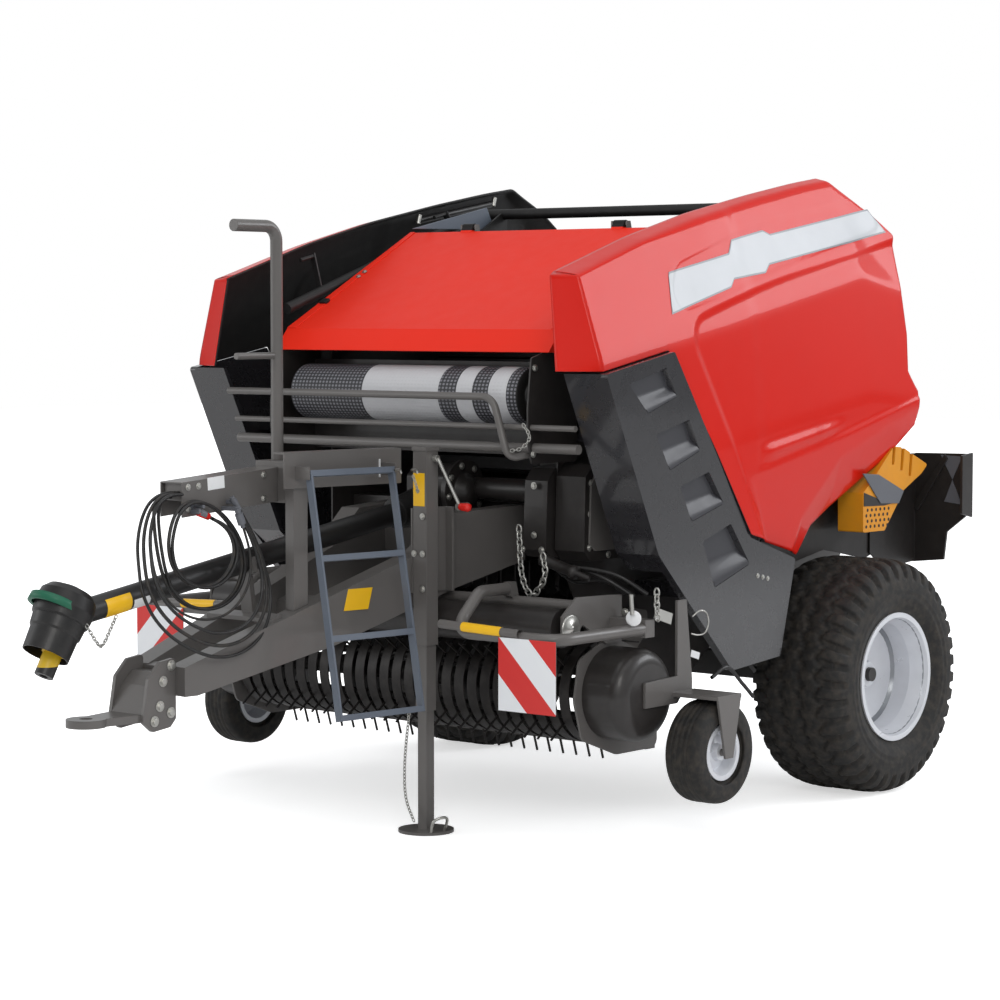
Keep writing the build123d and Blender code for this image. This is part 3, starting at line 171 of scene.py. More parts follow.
# Each paint: its colour in sRGB, roughness, dust and grain, then its other values of painted().
paints = {
    "cover": ((205, 28, 15), 0.36, 0.0, 0.0, dict(coat=0.3, shade=0.97, sheen=0.1)),
    "hood": ((230, 44, 24), 0.45, 0.01, 0.02, dict(coat=0.03, shade=0.96, sheen=0.15, cap=2.442)),
    "bandGrey": ((136, 139, 144), 0.35, 0.02, 0.02, {}),
    "bandSilver": ((186, 189, 193), 0.32, 0.02, 0.03, dict(shade=0.95)),
    "inside": ((20, 19, 19), 0.55, 0.04, 0.15, {}),
    "frame": ((97, 94, 92), 0.36, 0.04, 0.06, dict(coat=0.12, low=0.03)),
    "scoop": ((50, 50, 55), 0.42, 0.0, 0.0, dict(coat=0.12)),
    "rimGrey": ((142, 145, 150), 0.3, 0.05, 0.04, dict(metallic=0.55)),
    "charcoal": ((42, 39, 38), 0.36, 0.05, 0.05, dict(coat=0.15, low=0.03)),
    "dark": ((40, 37, 36), 0.42, 0.05, 0.08, dict(coat=0.08, low=0.03)),
    "column": ((38, 37, 40), 0.28, 0.0, 0.0, dict(coat=0.8, shade=0.96, edge=False)),
    "blueGrey": ((96, 104, 116), 0.4, 0.06, 0.08, {}),
    "grey": ((98, 100, 106), 0.38, 0.05, 0.08, {}),
    "silver": ((214, 216, 221), 0.3, 0.04, 0.06, dict(metallic=0.25)),
    "steel": ((116, 110, 104), 0.4, 0.25, 0.25, dict(metallic=0.6)),
    "zinc": ((186, 185, 180), 0.3, 0.08, 0.12, dict(metallic=0.85)),
    "darkSteel": ((34, 31, 30), 0.42, 0.12, 0.2, dict(metallic=0.35)),
    "black": ((27, 26, 26), 0.38, 0.06, 0.2, dict(coat=0.05)),
    "yellow": ((218, 144, 24), 0.45, 0.06, 0.2, {}),
    "label": ((242, 188, 24), 0.38, 0.03, 0.03, {}),
    "white": ((232, 233, 234), 0.38, 0.03, 0.03, {}),
    "green": ((18, 96, 70), 0.42, 0.06, 0.15, {}),
    "redKnob": ((212, 34, 26), 0.32, 0.03, 0.05, {}),
    "orange": ((228, 116, 22), 0.22, 0.02, 0.05, dict(coat=0.6)),
}
mats = {name: painted(name + "Paint", *row[:4], **row[4]) for name, row in paints.items()}
mats["tyre"] = plainRubber("tyreRubber", (18, 17, 16))
mats["hose"] = plainRubber("hoseRubber", (26, 25, 25), 0.5)


def build(name, points, faces, body, mat, smooth=True):
    # one mesh piece from a whole array of points and a whole array of equal-sized faces
    mesh = bpy.data.meshes.new(name)
    mesh.vertices.add(len(points))
    mesh.vertices.foreach_set("co", np.asarray(points, np.float32).ravel())
    faces = np.asarray(faces, np.int32)
    mesh.loops.add(faces.size)
    mesh.loops.foreach_set("vertex_index", faces.ravel())
    mesh.polygons.add(len(faces))
    mesh.polygons.foreach_set("loop_start", np.arange(0, faces.size, faces.shape[1], dtype=np.int32))
    mesh.polygons.foreach_set("use_smooth", np.full(len(faces), smooth))
    mesh.update(calc_edges=True)
    mesh.validate()
    mesh.materials.append(mat)
    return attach(added(name, mesh), body)


def gridFaces(nu, nv, loopU=False, loopV=False):
    # quads of a grid of nu by nv points, wrapped where a direction closes
    i = np.arange(nu if loopU else nu - 1)[:, None]
    j = np.arange(nv if loopV else nv - 1)[None, :]
    i2, j2 = (i + 1) % nu, (j + 1) % nv
    return np.stack([i * nv + j, i2 * nv + j, i2 * nv + j2, i * nv + j2], -1).reshape(-1, 4)


def outward(points, faces):
    # quads in the order that gives a closed shape a positive volume
    a, b, c, d = (points[faces[:, k]] for k in range(4))
    volume = np.einsum("ij,ij->i", a, np.cross(b, c) + np.cross(c, d)).sum()
    return faces if volume > 0 else faces[:, ::-1]


def frameOf(direction):
    # two unit vectors square to a direction
    d = np.asarray(direction, float) / np.linalg.norm(direction)
    u = np.cross(d, [0, 0, 1] if abs(d[2]) < 0.9 else [1, 0, 0])
    u /= np.linalg.norm(u)
    return d, u, np.cross(d, u)


def turned(profile, start, direction, segments):
    # ring of a profile (distance along, radius) round an axis: P = start + d*a + r*(u*cos t + w*sin t)
    profile = np.asarray(profile, float)
    d, u, w = frameOf(direction)
    t = np.linspace(0, 2 * math.pi, segments, endpoint=False)
    ring = np.cos(t)[:, None] * u + np.sin(t)[:, None] * w
    points = start + profile[None, :, 0, None] * d + profile[None, :, 1, None] * ring[:, None, :]
    faces = gridFaces(segments, len(profile), loopU=True)
    points = points.reshape(-1, 3)
    return points, outward(points, faces)


def rod(path, radius, segments, closed=False):
    # tube along a path: each ring square to the mean of its two runs, P = path + r*(u*cos t + w*sin t)
    path = np.asarray(path, float)
    after = np.roll(path, -1, 0) - path
    before = path - np.roll(path, 1, 0)
    if not closed:
        after[-1], before[0] = before[-1], after[0]
    tangent = after / np.linalg.norm(after, axis=1)[:, None]
    tangent += before / np.linalg.norm(before, axis=1)[:, None]
    tangent /= np.linalg.norm(tangent, axis=1)[:, None]
    reference = np.array([0.31, 0.17, 0.93]) if abs(tangent[:, 2]).mean() < 0.8 else np.array([0.9, 0.3, 0.1])
    u = np.cross(tangent, reference)
    u /= np.linalg.norm(u, axis=1)[:, None]
    w = np.cross(tangent, u)
    t = np.linspace(0, 2 * math.pi, segments, endpoint=False)[None, :, None]
    points = path[:, None] + radius * (np.cos(t) * u[:, None] + np.sin(t) * w[:, None])
    faces = gridFaces(len(path), segments, loopU=closed, loopV=True)
    points = points.reshape(-1, 3)
    return points, outward(points, faces)


def joined(parts):
    # several (points, faces) arrays as one
    offset, points, faces = 0, [], []
    for p, f in parts:
        points.append(p)
        faces.append(f + offset)
        offset += len(p)
    return np.concatenate(points), np.concatenate(faces)


def smoothPath(points, steps=8):
    # Catmull-Rom curve through the points: P(t) cubic in t with tangents (next - last) / 2
    p = np.asarray(points, float)
    p = np.concatenate([[2 * p[0] - p[1]], p, [2 * p[-1] - p[-2]]])
    t = np.linspace(0, 1, steps, endpoint=False)[:, None]
    runs = [0.5 * (2 * b + (c - a) * t + (2 * a - 5 * b + 4 * c - d) * t**2 + (3 * b - a - 3 * c + d) * t**3)
            for a, b, c, d in zip(p, p[1:], p[2:], p[3:])]
    return np.concatenate(runs + [p[-2][None]])


boltShape = {"washer": 1.5, "washerThick": 0.22, "head": 0.75, "dome": 0.85, "domeWide": 0.82, "flat": 0.13}


def bolts(name, spots, normal, radius, body):
    # hexagon heads on washers, all facing one way: P = spot + n*h + r*(u*cos t + w*sin t) at twelve angles,
    # with r less at every other angle of the head
    n, u, w = frameOf(normal)
    b = boltShape
    rows = [(0, b["washer"]), (b["washerThick"], b["washer"]), (b["washerThick"], 1), (b["head"], 1),
            (b["dome"], b["domeWide"]), (b["dome"], 0)]
    t = np.linspace(0, 2 * math.pi, 12, endpoint=False)[:, None]
    ring = np.cos(t) * u + np.sin(t) * w
    hexed = 1 - b["flat"] * (np.arange(12) % 2)[:, None]
    shape = radius * np.stack([n * h + r * (hexed if 0 < r <= 1 else 1) * ring for h, r in rows], 1)
    shape = shape.reshape(-1, 3)
    faces = outward(shape, gridFaces(12, len(rows), loopU=True))
    return build(name, *joined([(shape + spot, faces) for spot in spots]), body, mats["zinc"], smooth=False)


def chain(name, path, pitch, wire, body):
    # links laid along a path: each an oval of wire, turned a quarter from the last
    path = smoothPath(path, 40)
    run = np.concatenate([[0], np.cumsum(np.linalg.norm(np.diff(path, axis=0), axis=1))])
    stops = np.arange(0, run[-1], pitch)
    centres = np.stack([np.interp(stops, run, path[:, k]) for k in range(3)], 1)
    t = np.linspace(0, 2 * math.pi, 20, endpoint=False)[:, None]
    along = np.cos(t) * (0.5 * pitch + 1.3 * wire) + 0.5 * pitch
    across = np.sin(t) * 2.9 * wire
    parts = []
    for k, (centre, after) in enumerate(zip(centres, centres[1:])):
        d, u, w = frameOf(after - centre)
        parts.append(rod(centre + d * along + (u if k % 2 else w) * across, wire, 6, closed=True))
    return build(name, *joined(parts), body, mats["zinc"])


def patch(name, corner, along, up, body, mat):
    # flat sheet with a sloped rim: P = corner + a*along + b*up, lifted along the normal
    corner, along, up = (np.asarray(v, float) for v in (corner, along, up))
    n = np.cross(along, up)
    n /= np.linalg.norm(n)
    a = np.array([0, 0.02, 0.98, 1.0])
    aa, bb = np.meshgrid(a, a, indexing="ij")
    rim = ((aa > 0) & (aa < 1) & (bb > 0) & (bb < 1)).astype(float)
    lift = 0.0003 + 0.0006 * rim
    points = corner + aa[..., None] * along + bb[..., None] * up + lift[..., None] * n
    return build(name, points.reshape(-1, 3), gridFaces(4, 4), body, mat, smooth=False)


# Packed nodes by paint; the rest are frame grey.
paintedNodes = {
    "cover": "side_cover_left side_cover_right", "hood": "hood", "column": "columns", "blueGrey": "ladder",
    "inside": "top_frame", "charcoal": "pickup_drums", "yellow": "wheel_chocks", "grey": "couplings",
    "zinc": "jack_crank", "black": "pto_guard", "steel": "ram_rod_left ram_rod_right",
    "silver": "rim_left rim_right gauge_rim_left gauge_rim_right",
    "tyre": "tyre_left tyre_right gauge_tyre_left gauge_tyre_right",
    "darkSteel": "reel strippers front_rollers tailgate_rollers feed_rotor",
    "dark": "crop_roller chamber_walls cross_beams net_box side_plates gearbox drive_case light_brackets "
            "axle",
}
paintOf = {node: paint for paint, names in paintedNodes.items() for node in names.split()}
for name, node in nodes.items():
    node.data.materials.clear()
    node.data.materials.append(mats[paintOf.get(name, "frame")])

# Net roll: its axis about the axle, the knit's rates round it and along it, and the white bands along X.
net = {"axis": (-1.665, 1.747), "round": 46.0, "along": 330.0,
       "bands": [(-0.21, 0.208), (0.304, 0.389), (0.473, 0.567)]}


def netMaterial():
    # knitted mesh, the sine of the angle times the sine of X, with white film in the bands, greyed as painted
    # shade
    s = Shader("netFilm")
    x, y, z = s.axes()[:3]
    white = 0.0
    for low, high in net["bands"]:
        inside = s.math("MULTIPLY", s.math("GREATER_THAN", x, low), s.math("LESS_THAN", x, high))
        white = s.math("ADD", inside, white)
    axisY, axisZ = net["axis"]
    angle = s.math("ARCTAN2", s.math("SUBTRACT", y, axleY + axisY), s.math("SUBTRACT", z, axisZ))
    rows = s.math("SINE", s.math("MULTIPLY", angle, net["round"]))
    columns = s.math("SINE", s.math("MULTIPLY", x, net["along"]))
    weave = s.math("MULTIPLY", s.math("ADD", rows, 1.0), s.math("ADD", columns, 1.0))
    threads = s.ramp(s.math("MULTIPLY", weave, 0.25),
                     [(0.12, linear((34, 34, 38))), (0.55, linear((120, 120, 126)))])
    # white film greyed to stand in for the hood's shadow on the roll: painted shade
    colour = s.mix(s.math("MINIMUM", white, 1.0), threads, linear((190, 190, 193)))
    s.grain(s.math("ADD", s.noise(160.0), weave), 0.2, 0.002)
    return s.set(Base_Color=colour, Roughness=0.5)


def shaftMaterial():
    # black shaft whose joint is yellow with a dark end, by height
    s = Shader("shaftZones")
    height = s.axes()[2]
    colour = linear((27, 26, 26))
    for limit, rgb in ((0.88, (214, 176, 34)), (0.8, (24, 23, 23))):
        colour = s.mix(s.math("LESS_THAN", height, limit), colour, linear(rgb))
    s.grain(s.noise(300.0), 0.15, 0.0006)
    return s.set(Base_Color=colour, Roughness=0.4)


nodes["net_roll"].data.materials[0] = netMaterial()
nodes["pto_shaft"].data.materials[0] = shaftMaterial()
print("materials done")

# Warning boards: size, the corner nearest the middle, and the stripes' pitch and phase.
board = {"wide": 0.282, "inner": 0.863, "front": -2.1822, "low": 0.556, "pitch": 0.29, "phase": 9.986}


def boardMaterial(name, side):
    # white sheet with red diagonal stripes that fall away from the machine's middle
    s = Shader(name)
    x, y, z = s.axes()[:3]
    half = board["wide"] / 2
    across = s.math("MULTIPLY", s.math("SUBTRACT", x, side * (board["inner"] + half)), float(side))
    slope = s.math("ADD", across, s.math("SUBTRACT", z, board["low"] + half))
    stripe = s.math("FRACT", s.math("ADD", s.math("MULTIPLY", slope, 1 / board["pitch"]), board["phase"]))
    colour = s.mix(s.math("GREATER_THAN", stripe, 0.5), linear((226, 228, 231)), linear((204, 38, 34)))
    s.grain(s.noise(300.0), 0.08, 0.0005)
    return s.set(Base_Color=colour, Roughness=0.38)


for side, word in sides[::-1]:
    start = board["inner"] if side > 0 else -board["inner"] - board["wide"]
    patch("board" + word, place(start, board["front"], board["low"]), (board["wide"], 0, 0),
          (0, 0, board["wide"]), "pickup", boardMaterial("boardSheet" + word, side))

# Hoses in front of the drawbar: radius, length in metres, lay, and the route in millimetres about the axle.
hoseRoutes = {
    "hose_thick": (7, 1.6, "hanging", [
        (30, -3062, 1400), (30, -3110, 1400), (34, -3162, 1390), (40, -3210, 1362), (46, -3248, 1308),
        (60, -3278, 1235), (88, -3300, 1155), (118, -3312, 1072), (148, -3292, 990), (178, -3238, 918),
        (200, -3150, 862), (206, -3040, 828), (206, -2925, 832), (201, -2828, 874), (190, -2764, 948),
        (172, -2738, 1040), (152, -2748, 1132), (132, -2768, 1215), (116, -2796, 1280), (105, -2820, 1326)]),
    "hose_cable": (5, 1.2, "hanging", [
        (0, -3062, 1392), (0, -3095, 1392), (4, -3130, 1385), (14, -3164, 1362), (30, -3196, 1320),
        (52, -3232, 1262), (78, -3256, 1190), (104, -3264, 1115), (120, -3242, 1042), (130, -3190, 980),
        (141, -3115, 938), (150, -3022, 922), (156, -2930, 940), (160, -2862, 990), (160, -2818, 1058),
        (155, -2806, 1135), (150, -2818, 1205), (145, -2838, 1262)]),
    "hose_twin": (7, 2.237, "coiled", [
        (-30, -3062, 1392), (-30, -3098, 1392), (-24, -3132, 1372), (-8, -3160, 1328), (20, -3182, 1262),
        (48, -3196, 1188), (72, -3196, 1108), (86, -3164, 1032), (93, -3090, 976), (98, -2990, 956),
        (100, -2900, 972), (100, -2830, 1022), (100, -2796, 1098), (99, -2806, 1180), (95, -2846, 1256),
        (90, -2910, 1322), (86, -2985, 1364), (90, -3070, 1374), (100, -3144, 1342), (110, -3188, 1278),
        (116, -3206, 1200), (121, -3184, 1122), (125, -3120, 1068), (126, -3032, 1044), (125, -2944, 1060),
        (122, -2880, 1112), (118, -2856, 1180), (114, -2876, 1242), (110, -2924, 1284), (105, -2978, 1308)])}


def hose(node, radius, length, lay, route):
    # one NURBS curve of order 3 with the route's points as its control points, bevelled to the hose's radius
    data = bpy.data.curves.new(node + "Curve", "CURVE")
    data.dimensions = "3D"
    spline = data.splines.new("NURBS")
    spline.points.add(len(route) - 1)
    points = np.ones((len(route), 4))
    points[:, :3] = np.array(route) / 1000 + [0, axleY, 0]
    spline.points.foreach_set("co", points.ravel())
    spline.order_u = 3
    spline.use_endpoint_u = True
    spline.resolution_u = 8
    data.bevel_depth = radius / 1000
    data.bevel_resolution = 4
    data.use_fill_caps = True
    data.materials.append(mats["hose"])
    piece = added(node + "Line", data)
    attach(piece, "chassis")
    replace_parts(piece, node)


for node, row in hoseRoutes.items():
    hose(node, *row)
print("hoses done")

# Side covers: heights and X of a section's shoulder, widest line, waist and foot at each place along the
# cover, then the outlines of its pressed fields and folds and how deep they go.
cover = {"y": [-1.89, -1.000, 0.000, 0.4],
         "z": [[2.213, 2.415, 2.64, 2.385], [1.866, 2.03, 2.25, 2.15], [1.5, 1.56, 1.72, 1.68],
               [1.02, 1.02, 1.02, 1.02]],
         "x": [[0.994, 0.985, 0.935, 1.065], [1.104, 1.108, 1.11, 1.125], [1.12, 1.146, 1.176, 1.186],
               [1.128, 1.148, 1.16, 1.165]],
         "innerX": [0.87, 0.866, 0.862, 0.862], "innerZ": [2.229, 2.433, 2.655, 2.44],
         "crown": [(-1.89, 0.000), (-1.4, 0.042), (-1.000, 0.052), (-0.55, 0.042), (-0.2, 0.026),
                   (0.03, 0.008), (0.24, 0.026), (0.337, 0.006)],
         "front": [(1.861, -1.841), (2.218, -1.855)], "frontInner": [(1.852, 0.932), (2.209, 0.882)],
         "foot": [(-1.893, 1.842), (-1.42, 1.93), (-0.901, 1.17), (-0.43, 1.052), (-0.365, 1.173),
                  (0.19, 1.451), (0.362, 1.583)],
         "rear": [(1.583, 0.362), (1.733, 0.362), (1.84, 0.298), (1.983, 0.318), (2.14, 0.308),
                  (2.413, 0.337)],
         "field": [(-1.3, 2.036), (-0.997, 2.127), (-0.578, 2.231), (0.167, 2.376), (0.7, 2.48), (0.7, 0.9),
                   (-0.69, 0.9)],
         "shelf": [(-0.78, 1.52), (-0.271, 1.606)],
         "crease": [(-0.9, 1.415), (-0.801, 1.435), (-0.192, 1.563), (0.464, 1.724)],
         "facet": [(-0.545, 0.98), (-0.47, 1.225), (-0.22, 1.47), (0.12, 1.59), (0.4, 1.68)],
         "bandField": [(-1.33, 2.06), (-1.3, 2.262), (-0.9, 2.385), (-0.56, 2.462), (0.18, 2.585),
                       (0.3, 2.45), (-0.56, 2.262), (-0.92, 2.16)],
         "fieldDeep": 0.012, "bandDeep": 0.004, "shelfHigh": 0.013, "creaseDeep": 0.006, "lowTuck": 0.13,
         "facetTuck": 0.15, "columnLine": (-0.829, 1.184, -0.543), "columns": 250, "flank": 110, "flange": 8,
         "wall": 0.01}
blur = list(zip((-2, -1, 0, 1, 2), (1 / 16, 4 / 16, 6 / 16, 4 / 16, 1 / 16)))


def rounded(points, size, times=3):
    # closed outline with each corner cut a set way from its point, then again at smaller sizes
    p = np.array(points, float)
    for k in range(times):
        way = np.roll(p, -1, 0) - p
        way /= np.linalg.norm(way, axis=1)[:, None]
        cut = size * 0.42**k
        p = np.stack([p - cut * np.roll(way, 1, 0), p + cut * way], 1).reshape(-1, 2)
    return p


def depthInside(y, z, outline):
    # distance from a point to an outline, above 0 inside it: shortest way to any side, sign by crossings
    best = np.full(y.shape, 9.0)
    inside = np.zeros(y.shape, bool)
    for (y0, z0), (y1, z1) in zip(outline, np.roll(outline, -1, 0)):
        t = np.clip(((y - y0) * (y1 - y0) + (z - z0) * (z1 - z0)) / ((y1 - y0) ** 2 + (z1 - z0) ** 2), 0, 1)
        best = np.minimum(best, np.hypot(y - y0 - t * (y1 - y0), z - z0 - t * (z1 - z0)))
        with np.errstate(divide="ignore", invalid="ignore"):
            crossed = ((z0 > z) != (z1 > z)) & (y < (y1 - y0) * (z - z0) / (z1 - z0) + y0)
        inside ^= crossed
    return np.where(inside, best, -best)


def soft(value, width):
    # 0 to 1 over the width, flat at both ends: 3s^2 - 2s^3
    s = np.clip(value / width, 0, 1)
    return s * s * (3 - 2 * s)


def plainSide(y, z):
    # X of straight runs between the section's four heights
    high = [np.interp(y, cover["y"], row) for row in cover["z"]]
    wide = [np.interp(y, cover["y"], row) for row in cover["x"]]
    x = wide[0]
    for k in range(3):
        run = wide[k] + (z - high[k]) * (wide[k + 1] - wide[k]) / (high[k + 1] - high[k])
        x = np.where((z < high[k]) | (k == 0), run, x)
    return x


def sideX(y, z):
    # X of the cover's face: the plain side blurred over 60 mm, less its pressed fields and folds
    c = cover
    x = sum(wa * wb * plainSide(y + 0.022 * a, z + 0.022 * b) for a, wa in blur for b, wb in blur)
    x = x - c["fieldDeep"] * soft(depthInside(y, z, rounded(c["field"], 0.085)) + 0.006, 0.045)
    x = x - c["bandDeep"] * soft(depthInside(y, z, rounded(c["bandField"], 0.06)) + 0.004, 0.022)
    crease = z - np.interp(y, *np.transpose(c["crease"]))
    (y0, z0), (y1, z1) = c["shelf"]
    over = z - z0 - (y - y0) * (z1 - z0) / (y1 - y0)
    along = soft(y - y0 + 0.05, 0.1) * soft(y1 + 0.1 - y, 0.22)
    x = x + c["shelfHigh"] * along * (1 - soft(over + 0.01, 0.03)) * soft(crease, 0.06)
    x = x - c["creaseDeep"] * soft(crease, 0.014) * soft(y + 0.86, 0.1)
    lineY, lineZ, lineSlope = c["columnLine"]
    beside = soft(y - lineY - (z - lineZ) * lineSlope, 0.08)
    x = x - c["lowTuck"] * (np.sqrt(np.minimum(crease, 0) ** 2 + 0.0001) - 0.01) * (crease < 0) * beside
    under = np.interp(y, *np.transpose(c["facet"])) - z
    return x - c["facetTuck"] * (np.sqrt(np.maximum(under, 0) ** 2 + 0.00004) - 0.0063) * (under > 0)


def coverPoints():
    # grid of the left cover: columns run from its front edge to its rear edge, rows over the top and down
    # the side, with the edge between them rounded by a few passes of averaging
    flank, flange = cover["flank"], cover["flange"]
    u = np.linspace(0, 1, cover["columns"])[:, None]
    v = np.linspace(0, 1, flank)
    high, low = cover["rear"][-1][0], cover["rear"][0][0]
    rearY = np.interp(high + v * (low - high), *np.transpose(cover["rear"]))
    high, low = cover["z"][0][0], cover["front"][0][0]
    frontY = np.interp(high + v * (low - high), *np.transpose(cover["front"]))[None, :]
    y = frontY + u * (rearY[None, :] - frontY)
    shoulderZ = sum(w * np.interp(y + 0.014 * a, cover["y"], cover["z"][0]) for a, w in blur)
    shoulderZ = shoulderZ + sum(w * np.interp(y + 0.04 * a, *np.transpose(cover["crown"])) for a, w in blur)
    z = shoulderZ * (1 - v) + np.interp(y, *np.transpose(cover["foot"])) * v
    side = np.stack([sideX(y, z), y, z], -1)
    t = np.linspace(0, 1, flange, endpoint=False)[None, :, None]
    rise = np.interp(y[:, 0], cover["y"], np.subtract(cover["innerZ"], cover["z"][0]))
    inner = np.stack([np.interp(y[:, 0], cover["y"], cover["innerX"]), y[:, 0], shoulderZ[:, 0] + rise], -1)
    grid = np.concatenate([inner[:, None, :] * (1 - t) + side[:, :1, :] * t, side], 1)
    near = np.exp(-((np.arange(grid.shape[1]) - flange) / 2.2) ** 2)[None, 1:-1, None]
    for k in range(5):
        mean = 0.5 * (grid[:, :-2] + grid[:, 2:])
        grid[:, 1:-1] += 0.6 * near * (mean - grid[:, 1:-1])
    return grid


def coverShell(side, word):
    # the grid and a flat front face that meets it in a sharp crease, given its wall by Solidify
    grid = coverPoints()
    edge = grid[0, cover["flange"]:]
    inward = np.interp(edge[:, 2], *np.transpose(cover["frontInner"]))
    t = np.linspace(0, 1, 12)[:, None]
    face = np.repeat(edge[None], 12, 0)
    face[..., 0] = edge[None, :, 0] * t + inward[None] * (1 - t)
    face[..., 1] -= np.interp(edge[None, :, 2], [1.85, 2.21], [0.08, 0.039]) * (1 - t)
    corner = grid[0, 0]
    cap = np.array([face[-1, 0], face[0, 0], corner, 0.5 * (corner + face[-1, 0])])
    points, faces = joined([(part.reshape(-1, 3), gridFaces(*part.shape[:2])) for part in (grid, face)]
                           + [(cap, np.array([[0, 1, 2, 3]]))])
    points = points * [side, 1, 1] + [0, axleY, 0]
    faces = faces[:, ::-1] if side > 0 else faces
    node = "side_cover_" + word.lower()
    piece = build("coverShell" + word, points, faces, node, mats["cover"])
    piece.data.materials.append(mats["inside"])
    wall = piece.modifiers.new("wall", "SOLIDIFY")
    wall.thickness = cover["wall"]
    wall.offset = -1
    wall.material_offset = 1
    wall.material_offset_rim = 1
    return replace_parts(piece, node)


# Blank band on each cover: its upper and lower edges in side view.
band = {"top": [(-1.354, 2.071), (-1.313, 2.24), (-0.886, 2.323), (-0.845, 2.379), (-0.601, 2.424),
                (-0.559, 2.408), (0.208, 2.533), (0.29, 2.432)],
        "low": [(-1.354, 2.071), (-0.929, 2.181), (-0.895, 2.215), (-0.666, 2.243), (-0.624, 2.278),
                (0.29, 2.432)]}


def coverBand(side, word, name, inset, lift, mat):
    # Z between the band's two edges, X of the cover's face plus a lift
    front, rear = band["top"][0][0], band["top"][-1][0]
    y = np.linspace(front + 1.4 * inset, rear - 1.4 * inset, 220)[:, None]
    low = np.interp(y, *np.transpose(band["low"])) + inset
    high = np.maximum(np.interp(y, *np.transpose(band["top"])) - inset, low)
    z = low + (high - low) * np.linspace(0, 1, 14)[None, :]
    y = y + 0 * z
    points = np.stack([side * (sideX(y, z) + lift), y + axleY, z], -1).reshape(-1, 3)
    faces = gridFaces(220, 14)[:, ::side]
    return build(name + word, points, faces, "side_cover_" + word.lower(), mat)


for side, word in sides:
    coverShell(side, word)
    coverBand(side, word, "bandRim", 0.0, 0.0016, mats["bandGrey"])
    coverBand(side, word, "bandSheet", 0.007, 0.0026, mats["bandSilver"])
print("covers done")

# Main tyres: points round, lugs, depth and swing of the grooves, outer radius, half width, track, bead, the
# places and half width of the grooves round it, and where the shoulder blocks begin.
tread = {"around": 640, "lugs": 38, "depth": 0.016, "zig": 0.017, "crown": 0.508, "half": 0.235,
         "track": 1.076, "bead": (0.2625, 0.2045), "grooves": (-0.128, -0.045, 0.045, 0.128),
         "grooveHalf": 0.008, "shoulder": 0.13, "sipe": 0.1, "edgeRadius": 0.418,
         "sideRibs": ((0.345, 0.006), (0.375, 0.004))}
smallTyre = {"around": 160, "crown": 0.205, "half": 0.0825, "bead": (0.1005, 0.058), "depth": 0.004,
             "grooves": (-0.036, -0.012, 0.012, 0.036), "centre": (1.283, -1.38, 0.345)}


def tyreProfile(half, outer, bead, beadHalf):
    # smooth section of a tyre, from one bead over the tread to the other: (offset, radius)
    high = outer - bead
    right = np.array([(beadHalf, bead), (beadHalf + 0.004, bead + 0.03), (half * 0.97, bead + high * 0.27),
                      (half, bead + high * 0.45), (half * 0.985, bead + high * 0.66),
                      (half * 0.93, bead + high * 0.83), (half * 0.8, bead + high * 0.945),
                      (half * 0.5, outer), (0.0, outer)])
    left = right[::-1][1:] * [-1, 1]
    return smoothPath(np.concatenate([right, left]), 7)


def tyrePiece(name, node, centre, t, radius, offset, body):
    # P = centre + radius * (0, sin t, cos t) + offset along X
    ring = np.stack([np.zeros_like(t), np.sin(t), np.cos(t)], -1)
    points = place(*centre) + radius[..., None] * ring + offset[..., None] * np.array([1.0, 0, 0])
    points = points.reshape(-1, 3)
    faces = gridFaces(*radius.shape, loopU=True)
    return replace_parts(build(name, points, outward(points, faces), body, mats["tyre"]), node)


def blockTread(name, node, side, body):
    # radius less the tread's depth in zigzag grooves and between shoulder blocks, with two ribs on the side
    profile = tyreProfile(tread["half"], tread["crown"], *tread["bead"])
    t = np.linspace(0, 2 * math.pi, tread["around"], endpoint=False)[:, None]
    s, r = profile[None, :, 0], profile[None, :, 1]
    phase = t * tread["lugs"] / (2 * math.pi)
    shift = s + (np.abs((phase % 1) * 2 - 1) * 2 - 1) * tread["zig"]
    groove = np.zeros(shift.shape)
    for at in tread["grooves"]:
        groove = np.maximum(groove, np.clip(1.4 - np.abs(shift - at) / tread["grooveHalf"], 0, 1))
    inner = np.abs(s) < tread["shoulder"]
    sipe = np.clip(1.3 - np.abs(((phase * 2) % 1) - 0.5) / 0.06, 0, 1) * inner * tread["sipe"]
    skew = phase + np.where(s > 0, 0.25, 0.75) + (np.abs(s) - tread["shoulder"]) * 2.0
    notch = np.clip((np.abs((skew % 1) * 2 - 1) - 0.52) / 0.14, 0, 1)
    notch = notch * np.clip((np.abs(s) - tread["shoulder"] - 0.005) / 0.012, 0, 1)
    onTread = np.clip((r - tread["edgeRadius"]) / 0.035, 0, 1)
    relief = -tread["depth"] * np.maximum(np.maximum(groove, sipe), notch) * onTread
    ribs = sum(0.003 * np.exp(-(((r - at) / wide) ** 2)) for at, wide in tread["sideRibs"])
    offset = s + np.sign(s) * (ribs + relief * 0.5 * (np.abs(s) > 0.2))
    return tyrePiece(name, node, (side * tread["track"], 0, tread["crown"]), t, r + relief, offset, body)


def ribTyre(name, node, side, body):
    # small tyre with shallow round grooves
    profile = tyreProfile(smallTyre["half"], smallTyre["crown"], *smallTyre["bead"])
    t = np.linspace(0, 2 * math.pi, smallTyre["around"], endpoint=False)[:, None]
    s, r = profile[None, :, 0], profile[None, :, 1]
    groove = sum(np.exp(-(((s - at) / 0.0035) ** 2)) for at in smallTyre["grooves"])
    radius = r - smallTyre["depth"] * groove * (r > 0.17)
    x, y, z = smallTyre["centre"]
    return tyrePiece(name, node, (side * x, y, z), t, radius + 0 * t, s + 0 * t, body)


